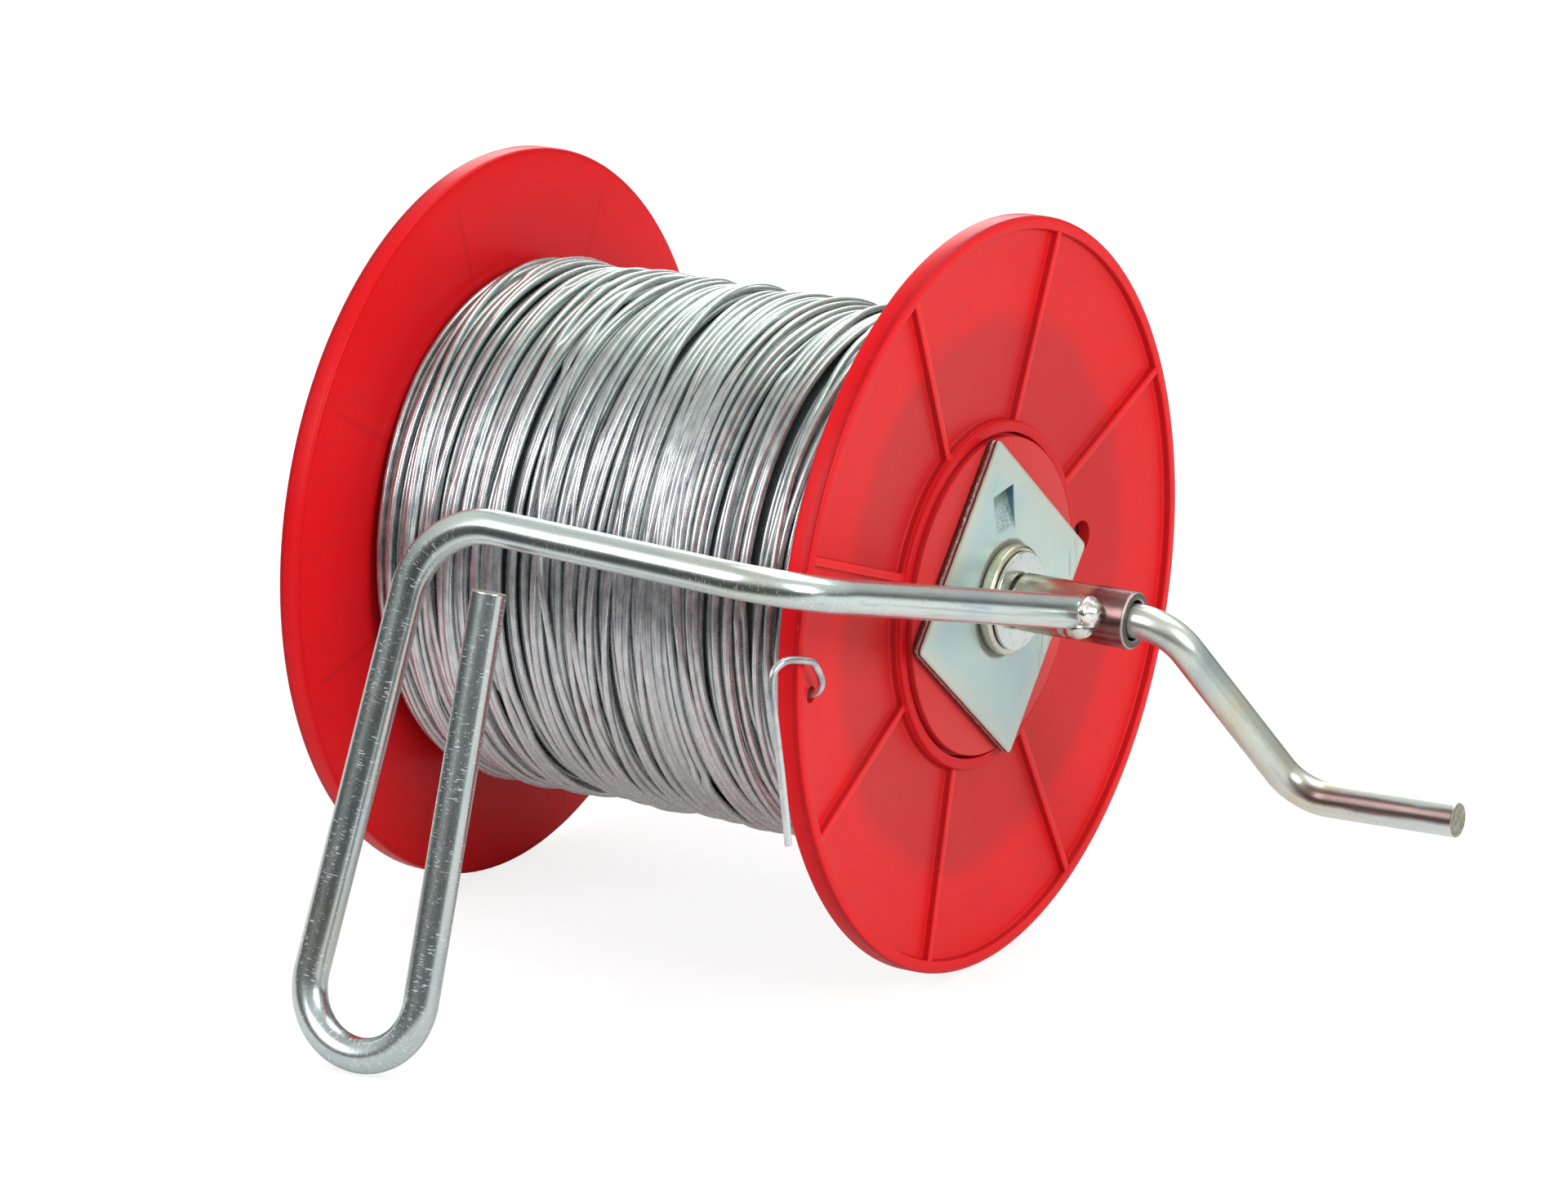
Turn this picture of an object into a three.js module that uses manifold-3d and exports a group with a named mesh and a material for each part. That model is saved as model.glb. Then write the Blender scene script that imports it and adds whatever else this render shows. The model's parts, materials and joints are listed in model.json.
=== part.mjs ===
// Hand-held wire reel: a moulded spool of fence wire on a bent-rod crank, which turns
// in a sleeve welded to a bent-rod handle. Millimetres, +Z up, crank axis along +X.
import * as THREE from 'three';
import { mergeVertices } from 'three/addons/utils/BufferGeometryUtils.js';
import Module from 'manifold-3d';

const wasm = await Module();
wasm.setup();

// ---------- driving sizes ----------
const fitGap = 0.3; // left between pieces that touch

const rodDiameter = 9.5; // 3/8 in bright rod, for the crank and the handle
const wireDiameter = 2.1; // galvanised fence wire

const flangeRadius = 105;
const spoolWidth = 166; // over the two lips
const rimWidth = 6.5; // along the axis
const rimWall = 3.5; // radial thickness of the lip
const rimRound = 1.2; // rounded outer edges of the lip
const webDepth = 2.3; // lip above the web
const webThickness = 3.4; // beside the hub ring
const webDish = 3.0; // how far the web falls towards the hub
const ribCount = 8;
const ribWidth = 2.4;
const ribPhase = 27.6; // degrees from +Y
const ribSink = 0.3; // rib top below the lip
const hubRingRise = 3.3; // above the web
const hubRingWall = 3.0;
const barrelRadius = 45;
const barrelWall = 3;
const hubDiscRise = 1.4; // hub disc face above the hub ring
const hubDiscThickness = 3;
const hubGroove = 1.0; // open groove between the hub ring and the hub disc
const spigotLength = 9;
const spigotWall = 3;
const coreWall = 3;
const shaftClearance = 0.35; // radial, shaft in the plastic hub
const startHoleDiameter = 9.5;
const startHoleStandOff = 8.3; // from the hub ring's outside
const startHoleAngle = 4.6;
const tailHoleDiameter = 4.6;
const tailHoleInset = 11.4; // from the flange's edge
const tailHoleAngle = -175.7;

const windingDepth = 28.2; // layers of wire over the barrel
const tailHook = 14.4; // crest of the wire's hooked end above its hole
const tailDrop = 36.6; // wire's end below its hole
const windingCrown = 1.0; // fall of the winding at its ends
const windingShoulder = 7; // width over which it falls
const windingSwell = 0.7; // rise and fall of the bundles of turns
const windingSwells = 9; // bundles between the shoulders
const windingColumns = 44; // flat steps around
const windingRows = 128; // flat steps along
const evenTurns = { pitch: 2.14, depth: 2.8, bundle: 0.5, stray: 0.25 }; // depth of wire centres
const looseTurns = { pitch: 2.9, depth: 1.05, bundle: 1.9, stray: 2.3 };
const crossTurns = { pitch: 12, depth: 0.3, bundle: 3, stray: 5 };
const crossingRise = 1.3; // most that crossing turns stand out

const plateReach = 2; // square plate's corners past the hub disc, before they are cut
const plateThickness = 3;
const plateCorner = 2.5;
const plateAngle = 7.1; // degrees that the square stands off its diagonal
const toothWidth = 12.5;
const toothHeight = 12;
const toothInset = 9.1; // tooth's centre from the plate's edge
const toothDepth = 4.5; // tip behind the plate's front
const toothWindow = 17; // square window for the tooth in the hub disc
const bossDiameter = 32;
const bossThickness = 3.6;
const bossRound = 0.9;
const thrustWasherDiameter = 26;
const thrustWasherThickness = 1;

const sleeveOuter = 16;
const sleeveInner = 11;
const sleeveLength = 35;
const sleevePlay = 0.6; // end float against the thrust washer
const crankStandOff = 9.8; // sleeve end to the corner of the first crank bend
const crankThrow = 56;
const crankLean = 27; // degrees that the crank arm leans off square
const crankAngle = -61.4; // throw's direction, degrees from +Y
const crankToe = 2.2; // crank grip leaning back to the axis
const crankGripLength = 48;
const crankBend = 15; // centre-line radius

const armSeat = 21.6; // arm's centre line from the sleeve's inner end
const armLength = 148;
const armLean = 3.3; // arm leaning back over the spool
const runLength = 113;
const runDroop = 2.1; // run falling towards the spool's middle
const runBend = 24;
const gripLength = 142;
const gripWidth = 37; // between the two legs' centre lines at the bottom
const gripSplay = 7.1;
const gripClose = 5.6; // free leg leaning back to the first one
const freeLegLength = 128;
const weldReach = 6.2;

const washerDiameter = 44;
const washerThickness = 2.5;
const lockWasherDiameter = 17;
const lockWasherThickness = 2.4;
const lockWasherSlit = 1.6;
const nutBaseDiameter = 17;
const nutTopDiameter = 14;
const nutHeight = 9;
const wingSpan = 44;
const wingRise = 17;
const wingThickness = 3;
const threadShow = 7; // rod standing past the nut

const roundSegments = 60; // on the large round pieces
const smallSegments = 24;
const rodSides = 12;

// ---------- worked-out places ----------
const rodRadius = rodDiameter / 2;
const wireRadius = wireDiameter / 2;
const lipFace = spoolWidth / 2;
const lipInnerRadius = flangeRadius - rimWall;
const webTopAtRim = lipFace - webDepth;
const webTopAtHub = webTopAtRim - webDish;
const rimInnerFace = lipFace - rimWidth;
const webBackAtHub = webTopAtHub - webThickness;
const hubRingTop = webTopAtHub + hubRingRise;
const flangeBore = barrelRadius + fitGap;
const hubRingRadius = flangeBore + hubRingWall;
const startHoleRadius = hubRingRadius + startHoleStandOff;
const tailHoleRadius = flangeRadius - tailHoleInset;
const windingRadius = flangeBore + windingDepth;
const hubDiscFace = hubRingTop + hubDiscRise;
const hubDiscBack = hubDiscFace - hubDiscThickness;
const hubDiscRadius = hubRingRadius - hubRingWall - hubGroove;
const barrelEnd = hubDiscBack - fitGap;
const barrelBore = barrelRadius - barrelWall;
const spigotRadius = barrelBore - fitGap;
const spigotEnd = hubDiscBack - spigotLength;
const shaftBore = rodRadius + shaftClearance;
const coreRadius = shaftBore + coreWall;
const plateSide = (hubDiscRadius + plateReach) * Math.SQRT2;
const toothDrop = plateSide / 2 - toothInset;
const plateBack = hubDiscFace + fitGap;
const plateFace = plateBack + plateThickness;
const bossBack = plateFace + fitGap;
const bossFace = bossBack + bossThickness;
const thrustWasherBack = bossFace + fitGap;
const thrustWasherFace = thrustWasherBack + thrustWasherThickness;
const sleeveStart = thrustWasherFace + sleevePlay;
const sleeveEnd = sleeveStart + sleeveLength;
const crankCorner = sleeveEnd + crankStandOff;
const armPlane = sleeveStart + armSeat;
const washerFace = hubDiscFace + fitGap + washerThickness;
const lockWasherFace = washerFace + fitGap + lockWasherThickness;
const nutFace = lockWasherFace + fitGap + nutHeight;
const shaftEnd = nutFace + threadShow;
const radians = (degrees) => THREE.MathUtils.degToRad(degrees);
const gripBendShare = 1 + Math.tan(radians(45 + gripClose / 2));
const gripBend = (gripWidth - 0.6) / gripBendShare; // the two bends meet at the bottom
const vec = (x, y, z) => new THREE.Vector3(x, y, z);

// Depth of the web's back face at a radius, from the barrel out to the rim.
const webBack = (radius) => THREE.MathUtils.mapLinear(
  radius, barrelRadius, flangeRadius, webBackAtHub, rimInnerFace);

// Direction in the plane across the axis, by its angle from +Y.
const across = (degrees) => vec(0, Math.cos(radians(degrees)), Math.sin(radians(degrees)));

// ---------- solids ----------
function facingOut(geometry) {
  const index = geometry.index.array;
  const place = geometry.attributes.position;
  const corner = [vec(0, 0, 0), vec(0, 0, 0), vec(0, 0, 0)];
  let volume = 0;
  for (let i = 0; i < index.length; i += 3) {
    corner.forEach((point, k) => point.fromBufferAttribute(place, index[i + k]));
    volume += corner[0].dot(corner[1].cross(corner[2]));
  }
  if (volume < 0) {
    for (let i = 0; i < index.length; i += 3) {
      [index[i + 1], index[i + 2]] = [index[i + 2], index[i + 1]];
    }
  }
  return geometry;
}

function closed(geometry) {
  geometry.deleteAttribute('normal');
  geometry.deleteAttribute('uv');
  return facingOut(mergeVertices(geometry, 1e-4));
}

function toSolid(geometry) {
  return new wasm.Manifold(new wasm.Mesh({
    numProp: 3,
    vertProperties: new Float32Array(geometry.attributes.position.array),
    triVerts: new Uint32Array(geometry.index.array),
  }));
}

function toGeometry(solid) {
  const { vertProperties, triVerts } = solid.getMesh();
  const geometry = new THREE.BufferGeometry();
  geometry.setAttribute('position', new THREE.BufferAttribute(vertProperties, 3));
  geometry.setIndex(new THREE.BufferAttribute(triVerts, 1));
  return geometry;
}

// Turns a profile of [radius, x] pairs about the X axis, with a flat at the bottom.
function turned(profile, segments = roundSegments) {
  const points = profile.map(([radius, x]) => new THREE.Vector2(radius, x));
  const geometry = new THREE.LatheGeometry(points, segments);
  geometry.rotateZ(-Math.PI / 2);
  geometry.rotateX(Math.PI / segments);
  return closed(geometry);
}

// A plain ring, or a disc when the inner radius is zero.
function ring(inner, outer, from, to, segments = roundSegments) {
  if (inner === 0) return turned([[0, from], [outer, from], [outer, to], [0, to]], segments);
  return turned([[inner, from], [outer, from], [outer, to], [inner, to], [inner, from]], segments);
}

// Extrudes a flat outline, given as [y, z] pairs, along +X.
function slab(outline, from, to) {
  const shape = new THREE.Shape(outline.map(([y, z]) => new THREE.Vector2(y, z)));
  const geometry = new THREE.ExtrudeGeometry(shape, { depth: to - from, bevelEnabled: false });
  geometry.applyMatrix4(new THREE.Matrix4().makeBasis(vec(0, 1, 0), vec(0, 0, 1), vec(1, 0, 0)));
  geometry.translate(from, 0, 0);
  return closed(geometry);
}

function circle(radius, sides) {
  const shape = new THREE.Shape();
  for (let i = 0; i < sides; i += 1) {
    const angle = (2 * Math.PI * i) / sides;
    shape[i === 0 ? 'moveTo' : 'lineTo'](radius * Math.cos(angle), radius * Math.sin(angle));
  }
  return shape;
}

// A centre line whose stations lie only where it bends, so straight lengths stay plain.
class StationPath extends THREE.Curve {
  constructor(stations) {
    super();
    this.stations = stations;
  }

  getPoint(t, target = new THREE.Vector3()) {
    const at = t * (this.stations.length - 1);
    const i = Math.min(Math.floor(at), this.stations.length - 2);
    return target.lerpVectors(this.stations[i], this.stations[i + 1], at - i);
  }

  getPointAt(t, target) {
    return this.getPoint(t, target);
  }

  getTangent(t, target = new THREE.Vector3()) {
    const last = this.stations.length - 1;
    const i = Math.round(t * last);
    const before = this.stations[Math.max(i - 1, 0)];
    const here = this.stations[i];
    const after = this.stations[Math.min(i + 1, last)];
    const arriving = here.clone().sub(before).normalize();
    const leaving = after.clone().sub(here).normalize();
    return target.addVectors(arriving, leaving).normalize();
  }

  getTangentAt(t, target) {
    return this.getTangent(t, target);
  }
}

function swept(stations, radius, sides) {
  const path = new StationPath(stations);
  const steps = stations.length - 1;
  return closed(new THREE.ExtrudeGeometry(circle(radius, sides), { steps, extrudePath: path }));
}

// Stations of a rod bent at each inner corner with the given centre-line radius.
function bentStations(corners, radii, stepDegrees = 15) {
  const stations = [corners[0]];
  for (let i = 1; i < corners.length - 1; i += 1) {
    const arriving = corners[i].clone().sub(corners[i - 1]).normalize();
    const leaving = corners[i + 1].clone().sub(corners[i]).normalize();
    const turn = arriving.angleTo(leaving);
    const setBack = radii[i - 1] * Math.tan(turn / 2);
    const start = corners[i].clone().addScaledVector(arriving, -setBack);
    const inward = leaving.clone().addScaledVector(arriving, -leaving.dot(arriving)).normalize();
    const centre = start.clone().addScaledVector(inward, radii[i - 1]);
    const steps = Math.max(2, Math.ceil(THREE.MathUtils.radToDeg(turn) / stepDegrees));
    for (let k = 0; k <= steps; k += 1) {
      const angle = (turn * k) / steps;
      stations.push(centre.clone()
        .addScaledVector(inward, -radii[i - 1] * Math.cos(angle))
        .addScaledVector(arriving, radii[i - 1] * Math.sin(angle)));
    }
  }
  stations.push(corners[corners.length - 1]);
  return stations;
}

function holeThrough(diameter, radius, angle, from, to) {
  const cutter = ring(0, diameter / 2, from, to, smallSegments);
  const centre = across(angle).multiplyScalar(radius);
  cutter.translate(centre.x, centre.y, centre.z);
  return toSolid(cutter);
}

// ---------- spool ----------
function ribSolid(angle) {
  const inner = hubRingRadius - hubRingWall / 2;
  const outer = lipInnerRadius + rimWall / 2;
  const outline = [
    [inner, webTopAtHub - 1],
    [outer, webTopAtRim - 1],
    [outer, lipFace - ribSink],
    [inner, webTopAtHub + webDepth - ribSink],
  ];
  const shape = new THREE.Shape(outline.map(([radius, x]) => new THREE.Vector2(radius, x)));
  const rib = new THREE.ExtrudeGeometry(shape, { depth: ribWidth, bevelEnabled: false });
  rib.translate(0, 0, -ribWidth / 2);
  rib.applyMatrix4(new THREE.Matrix4().makeBasis(vec(0, 1, 0), vec(1, 0, 0), vec(0, 0, 1)));
  rib.rotateX(radians(angle));
  return toSolid(closed(rib));
}

function flangeGeometry() {
  const hubFoot = hubRingRadius + 0.6;
  let solid = toSolid(turned([
    [flangeBore, webBack(flangeBore)],
    [flangeRadius - rimRound, webBack(flangeRadius - rimRound)],
    [flangeRadius, rimInnerFace + rimRound],
    [flangeRadius, lipFace - rimRound],
    [flangeRadius - rimRound, lipFace],
    [lipInnerRadius, lipFace],
    [lipInnerRadius - 0.4, webTopAtRim],
    [hubFoot, webTopAtHub],
    [hubRingRadius, hubRingTop],
    [hubRingRadius - hubRingWall, hubRingTop],
    [flangeBore, barrelEnd],
    [flangeBore, webBack(flangeBore)],
  ]));
  for (let i = 0; i < ribCount; i += 1) solid = solid.add(ribSolid(ribPhase + (360 / ribCount) * i));
  const cuts = [
    [startHoleDiameter, startHoleRadius, startHoleAngle],
    [tailHoleDiameter, tailHoleRadius, tailHoleAngle],
  ];
  for (const [diameter, radius, angle] of cuts) {
    solid = solid.subtract(holeThrough(diameter, radius, angle, 0, lipFace + 1));
  }
  return toGeometry(solid);
}

// End cap of the barrel: a disc with a spigot, a shaft bore and a window for the drive tooth.
function hubCapGeometry() {
  const cap = toSolid(turned([
    [shaftBore, hubDiscFace],
    [hubDiscRadius, hubDiscFace],
    [hubDiscRadius, hubDiscBack],
    [spigotRadius, hubDiscBack],
    [spigotRadius, spigotEnd],
    [spigotRadius - spigotWall, spigotEnd],
    [spigotRadius - spigotWall, hubDiscBack],
    [shaftBore, hubDiscBack],
    [shaftBore, hubDiscFace],
  ].reverse()));
  const half = toothWindow / 2;
  const window = slab(
    [[-half, -half], [half, -half], [half, half], [-half, half]], hubDiscBack - 1, hubDiscFace + 1);
  window.rotateX(radians(plateAngle));
  const centre = across(90 + plateAngle).multiplyScalar(toothDrop);
  window.translate(0, centre.y, centre.z);
  return toGeometry(cap.subtract(toSolid(window)));
}

// Sum of slow waves along the wire, given as [height, waves per turn] pairs.
function waves(pairs, turns, phase) {
  return pairs.reduce((sum, [height, rate], i) => (
    sum + height * Math.sin(2 * Math.PI * rate * turns + 2.4 * (phase + i + 1))), 0);
}

// Outside of the winding: bundles of turns between two shoulders.
function windingSurface(x, reach) {
  const fall = Math.min(Math.max((Math.abs(x) - reach) / windingShoulder, 0), 1) * windingCrown;
  const inside = Math.abs(x) < reach;
  const swell = Math.sin((Math.PI * windingSwells * (x + reach)) / reach);
  return windingRadius + (inside ? windingSwell * swell : 0) - fall;
}

// Wire centres as [x, radius] lists, one per step round the winding. Each turn lies on the
// turns already there, so that crossing ones ride over one another.
function laidTurns(reach, limit) {
  const steps = windingColumns * 2;
  const laid = Array.from({ length: steps }, () => []);
  [evenTurns, looseTurns, crossTurns].forEach((layer, number) => {
    const turns = Math.floor((2 * limit) / layer.pitch);
    for (let turn = 0; turn < turns; turn += 1) {
      const added = laid.map((column, step) => {
        const share = step / steps;
        const calm = 0.45 + 0.275 * (1 + Math.cos(2 * Math.PI * share - 2.3));
        const u = turn + share;
        const bundle = waves([[1, 1.035], [0.7, 0.945], [0.6, 0.081], [0.4, 2.055]], u, 8 * number);
        const stray = waves([[0.6, 0.46], [0.4, 1.71], [0.3, 0.237]], u, 8 * number + 4);
        let x = -limit + layer.pitch * u + calm * (layer.bundle * bundle + layer.stray * stray);
        if (Math.abs(x) > limit) x = Math.sign(x) * (2 * limit - Math.abs(x));
        if (number === 1) x = -x;
        const outside = windingSurface(x, reach);
        let radius = outside - layer.depth;
        for (const [otherX, otherRadius] of column) {
          const apart = Math.abs(otherX - x);
          if (apart < wireDiameter) {
            const lift = 0.86 * Math.sqrt(wireDiameter ** 2 - apart ** 2);
            radius = Math.max(radius, otherRadius + lift);
          }
        }
        return [x, Math.min(radius, outside - wireRadius + crossingRise)];
      });
      added.forEach((place, step) => laid[step].push(place));
    }
  });
  return laid;
}

function windingGeometry() {
  const inner = barrelRadius + fitGap;
  const edge = windingRadius - windingCrown;
  const side = (radius) => webBack(radius) - fitGap;
  const reach = side(edge) - windingShoulder;
  const laid = laidTurns(reach, side(edge) - wireRadius);
  const outside = (x, column) => {
    let radius = windingSurface(x, reach) - evenTurns.depth;
    for (const [wireX, wireCentre] of laid[column * 2]) {
      const apart = Math.abs(wireX - x);
      if (apart < wireRadius) {
        radius = Math.max(radius, wireCentre + Math.sqrt(wireRadius ** 2 - apart ** 2));
      }
    }
    return radius;
  };
  const rows = [[-side(inner), () => inner], [-side(edge), () => edge - wireRadius]];
  for (let i = 1; i < windingRows; i += 1) {
    const x = -side(edge) + (2 * side(edge) * i) / windingRows;
    rows.push([x, (column) => outside(x, column)]);
  }
  rows.push([side(edge), () => edge - wireRadius], [side(inner), () => inner]);
  const points = [];
  const index = [];
  rows.forEach(([x, radiusAt], row) => {
    for (let column = 0; column < windingColumns; column += 1) {
      const place = across((360 * column) / windingColumns).multiplyScalar(radiusAt(column));
      points.push(vec(x, place.y, place.z));
      const next = (column + 1) % windingColumns;
      const [a, b] = [row * windingColumns + column, row * windingColumns + next];
      const above = ((row + 1) % rows.length) * windingColumns;
      index.push(a, b, above + next, a, above + next, above + column);
    }
  });
  const geometry = new THREE.BufferGeometry().setFromPoints(points);
  geometry.setIndex(new THREE.BufferAttribute(new Uint32Array(index), 1));
  return facingOut(geometry);
}

// The wire's free end: out along the flange, through its hole, over the lip and down.
function wireTailGeometry() {
  const start = windingRadius + wireRadius + fitGap;
  const hole = across(tailHoleAngle).multiplyScalar(tailHoleRadius);
  const inside = webBack(start) - wireRadius - fitGap;
  const lip = flangeRadius;
  const hooked = (out, past, up) => vec(
    lipFace + out * tailHook, -lip - past * tailHook, hole.z + up * tailHook);
  const points = [
    vec(inside - wireRadius * 2, -start, hole.z),
    vec(inside - wireRadius, -start - wireRadius * 8, hole.z),
    vec(rimInnerFace - wireRadius * 2, hole.y + wireRadius * 1.3, hole.z),
    vec(rimInnerFace + fitGap, hole.y + wireRadius * 0.2, hole.z),
    vec(webTopAtRim, hole.y, hole.z + fitGap),
    hooked(0, -0.79, 0.14),
    hooked(0.09, -0.69, 0.36),
    hooked(0.14, -0.34, 0.73),
    hooked(0.12, -0.07, 0.855),
    hooked(0, 0.4, 0.94),
    hooked(-0.1, 0.665, 0.79),
    hooked(-0.11, 0.735, 0.48),
    hooked(-0.07, 0.695, 0.07),
    hooked(0, 0.52, -tailDrop / tailHook / 2.4),
    hooked(0.08, 0.31, -tailDrop / tailHook),
  ];
  const curve = new THREE.CatmullRomCurve3(points);
  return swept(curve.getSpacedPoints(40), wireRadius, 8);
}

// ---------- crank ----------
function crankStations() {
  const outward = across(crankAngle);
  const rise = crankThrow * Math.tan(radians(crankLean));
  const second = vec(crankCorner + rise, 0, 0).addScaledVector(outward, crankThrow);
  const grip = vec(Math.cos(radians(crankToe)), 0, 0)
    .addScaledVector(outward, -Math.sin(radians(crankToe)));
  return bentStations([
    vec(-shaftEnd, 0, 0),
    vec(crankCorner, 0, 0),
    second,
    second.clone().addScaledVector(grip, crankGripLength),
  ], [crankBend, crankBend]);
}

function toothOutline(grow) {
  const halfWidth = toothWidth / 2 + grow;
  const halfHeight = toothHeight / 2 + grow;
  return [
    [-halfWidth, halfHeight], [halfWidth, halfHeight],
    [halfWidth, -halfHeight * 0.8], [-halfWidth * 0.8, -halfHeight],
  ];
}

// A four-sided dent: its outline on one plane and its tip on another.
function dent(outline, from, tip) {
  const base = outline.map(([y, z]) => vec(from, y, z));
  const geometry = new THREE.BufferGeometry().setFromPoints([...base, tip]);
  geometry.setIndex(new THREE.BufferAttribute(
    new Uint32Array([0, 1, 2, 0, 2, 3, 0, 4, 1, 1, 4, 2, 2, 4, 3, 3, 4, 0]), 1));
  return facingOut(geometry);
}

function drivePlateGeometry() {
  const half = plateSide / 2;
  const cut = half - plateCorner;
  const square = [
    [half, cut], [cut, half], [-cut, half], [-half, cut],
    [-half, -cut], [-cut, -half], [cut, -half], [half, -cut],
  ];
  const plate = slab(square, plateBack, plateFace);
  plate.rotateX(radians(45 + plateAngle));
  const centre = across(90 + plateAngle).multiplyScalar(toothDrop);
  const placed = (geometry) => {
    geometry.rotateX(radians(plateAngle));
    geometry.translate(0, centre.y, centre.z);
    return toSolid(geometry);
  };
  const tipSide = toothWidth / 4;
  const tooth = placed(dent(toothOutline(0), plateBack + 0.5,
    vec(plateFace - toothDepth - 1.5, tipSide, toothHeight / 4)));
  const hollow = placed(dent(toothOutline(-0.2), plateFace + 0.01,
    vec(plateFace - toothDepth + 1.2, tipSide, toothHeight / 4)));
  const bore = holeThrough(2 * (rodRadius + fitGap), 0, 0, plateBack - 1, plateFace + 1);
  return toGeometry(toSolid(plate).add(tooth).subtract(hollow).subtract(bore));
}

function bossGeometry() {
  const bore = rodRadius + fitGap;
  const outer = bossDiameter / 2;
  return turned([
    [bore, bossBack],
    [outer - bossRound / 2, bossBack],
    [outer, bossBack + bossRound / 2],
    [outer, bossFace - bossRound],
    [outer - bossRound, bossFace],
    [bore, bossFace],
    [bore, bossBack],
  ], smallSegments * 2);
}

// ---------- handle ----------
// Corner points of the handle, with the arm raised until the grip's bend meets the floor.
function handleCorners(raise) {
  const axisPoint = vec(armPlane, 0, 0);
  const lean = radians(armLean);
  const flat = across(180 - raise);
  const arm = vec(-Math.sin(lean), 0, 0).addScaledVector(flat, Math.cos(lean));
  const below = across(270 - raise);
  const bend = axisPoint.clone().addScaledVector(arm, armLength);
  const run = vec(-Math.cos(radians(runDroop)), 0, 0)
    .addScaledVector(below, -Math.sin(radians(runDroop)));
  const knee = bend.clone().addScaledVector(run, runLength);
  const splay = radians(gripSplay);
  const leg = vec(-Math.sin(splay), 0, 0).addScaledVector(below, Math.cos(splay));
  const toFreeLeg = vec(Math.cos(splay), 0, 0).addScaledVector(below, Math.sin(splay));
  const foot = knee.clone().addScaledVector(leg, gripLength);
  const freeFoot = foot.clone().addScaledVector(toFreeLeg, gripWidth);
  const back = leg.clone().multiplyScalar(-Math.cos(radians(gripClose)))
    .addScaledVector(toFreeLeg, -Math.sin(radians(gripClose)));
  const freeEnd = freeFoot.clone().addScaledVector(back, freeLegLength);
  return [axisPoint, bend, knee, foot, freeFoot, freeEnd];
}

function lowest(stations) {
  return Math.min(...stations.map((point) => point.z));
}

const floor = -flangeRadius * Math.cos(Math.PI / roundSegments);
const handleBends = [runBend, runBend, gripBend, gripBend];

function restingHandle() {
  let low = -30;
  let high = 60;
  for (let i = 0; i < 40; i += 1) {
    const raise = (low + high) / 2;
    const stations = bentStations(handleCorners(raise), handleBends);
    if (lowest(stations) - rodRadius < floor) low = raise;
    else high = raise;
  }
  return handleCorners(high);
}

const handlePoints = restingHandle();

function sleeveCutter(extra) {
  const from = sleeveStart - sleeveLength;
  const to = sleeveEnd + sleeveLength;
  return toSolid(ring(0, sleeveOuter / 2 + extra, from, to, smallSegments));
}

function handleRodGeometry() {
  const stations = bentStations(handlePoints, handleBends);
  const rod = toSolid(swept(stations, rodRadius, rodSides));
  return toGeometry(rod.subtract(sleeveCutter(fitGap)));
}

// One weld bead in the corner between the sleeve and the arm, placed along the sleeve and up
// from the arm's axis, with its half sizes as shares of the weld's reach.
function weldGeometry(out, rise, sizes) {
  const arm = handlePoints[1].clone().sub(handlePoints[0]).normalize();
  const up = arm.clone().cross(vec(1, 0, 0)).normalize();
  const bead = new THREE.SphereGeometry(weldReach, 14, 8);
  bead.scale(...sizes);
  bead.applyMatrix4(new THREE.Matrix4().makeBasis(vec(1, 0, 0), arm, up));
  const seat = handlePoints[0].clone()
    .addScaledVector(arm, sleeveOuter / 2 + 0.12 * weldReach)
    .addScaledVector(up, rise);
  bead.translate(seat.x + out, seat.y, seat.z);
  const armRod = toSolid(swept([handlePoints[0], handlePoints[1]], rodRadius + fitGap, rodSides));
  return toGeometry(toSolid(closed(bead)).subtract(sleeveCutter(fitGap)).subtract(armRod));
}

// ---------- far-side fastening ----------
function lockWasherGeometry() {
  const from = -lockWasherFace;
  const washer = toSolid(ring(
    rodRadius + fitGap, lockWasherDiameter / 2, from, from + lockWasherThickness, smallSegments));
  const half = lockWasherSlit / 2;
  const slit = slab([[-half, 0], [half, 0], [half, lockWasherDiameter], [-half, lockWasherDiameter]],
    from - 1, from + lockWasherThickness + 1);
  return toGeometry(washer.subtract(toSolid(slit)));
}

function wingNutGeometry() {
  const seat = -lockWasherFace - fitGap;
  const body = toSolid(turned([
    [0, seat],
    [nutBaseDiameter / 2, seat],
    [nutBaseDiameter / 2, seat - 2],
    [nutTopDiameter / 2, seat - nutHeight],
    [0, seat - nutHeight],
  ], smallSegments));
  const half = wingSpan / 2;
  const shape = new THREE.Shape();
  shape.moveTo(0, 1);
  shape.lineTo(half * 0.55, 1.5);
  shape.quadraticCurveTo(half, nutHeight * 0.6, half, wingRise * 0.8);
  shape.quadraticCurveTo(half * 0.95, wingRise, half * 0.75, wingRise);
  shape.quadraticCurveTo(half * 0.5, wingRise * 0.95, half * 0.42, nutHeight * 0.85);
  shape.lineTo(0, nutHeight * 0.7);
  let solid = body;
  for (const side of [1, -1]) {
    const wing = new THREE.ExtrudeGeometry(shape, {
      depth: wingThickness, bevelEnabled: false, curveSegments: 6,
    });
    wing.translate(0, 0, -wingThickness / 2);
    wing.applyMatrix4(new THREE.Matrix4().makeBasis(
      vec(0, side, 0), vec(-1, 0, 0), vec(0, 0, side)));
    wing.translate(seat, 0, 0);
    solid = solid.add(toSolid(closed(wing)));
  }
  const bore = holeThrough(2 * (rodRadius + fitGap), 0, 0, seat - wingRise, seat + 1);
  return toGeometry(solid.subtract(bore));
}

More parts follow.
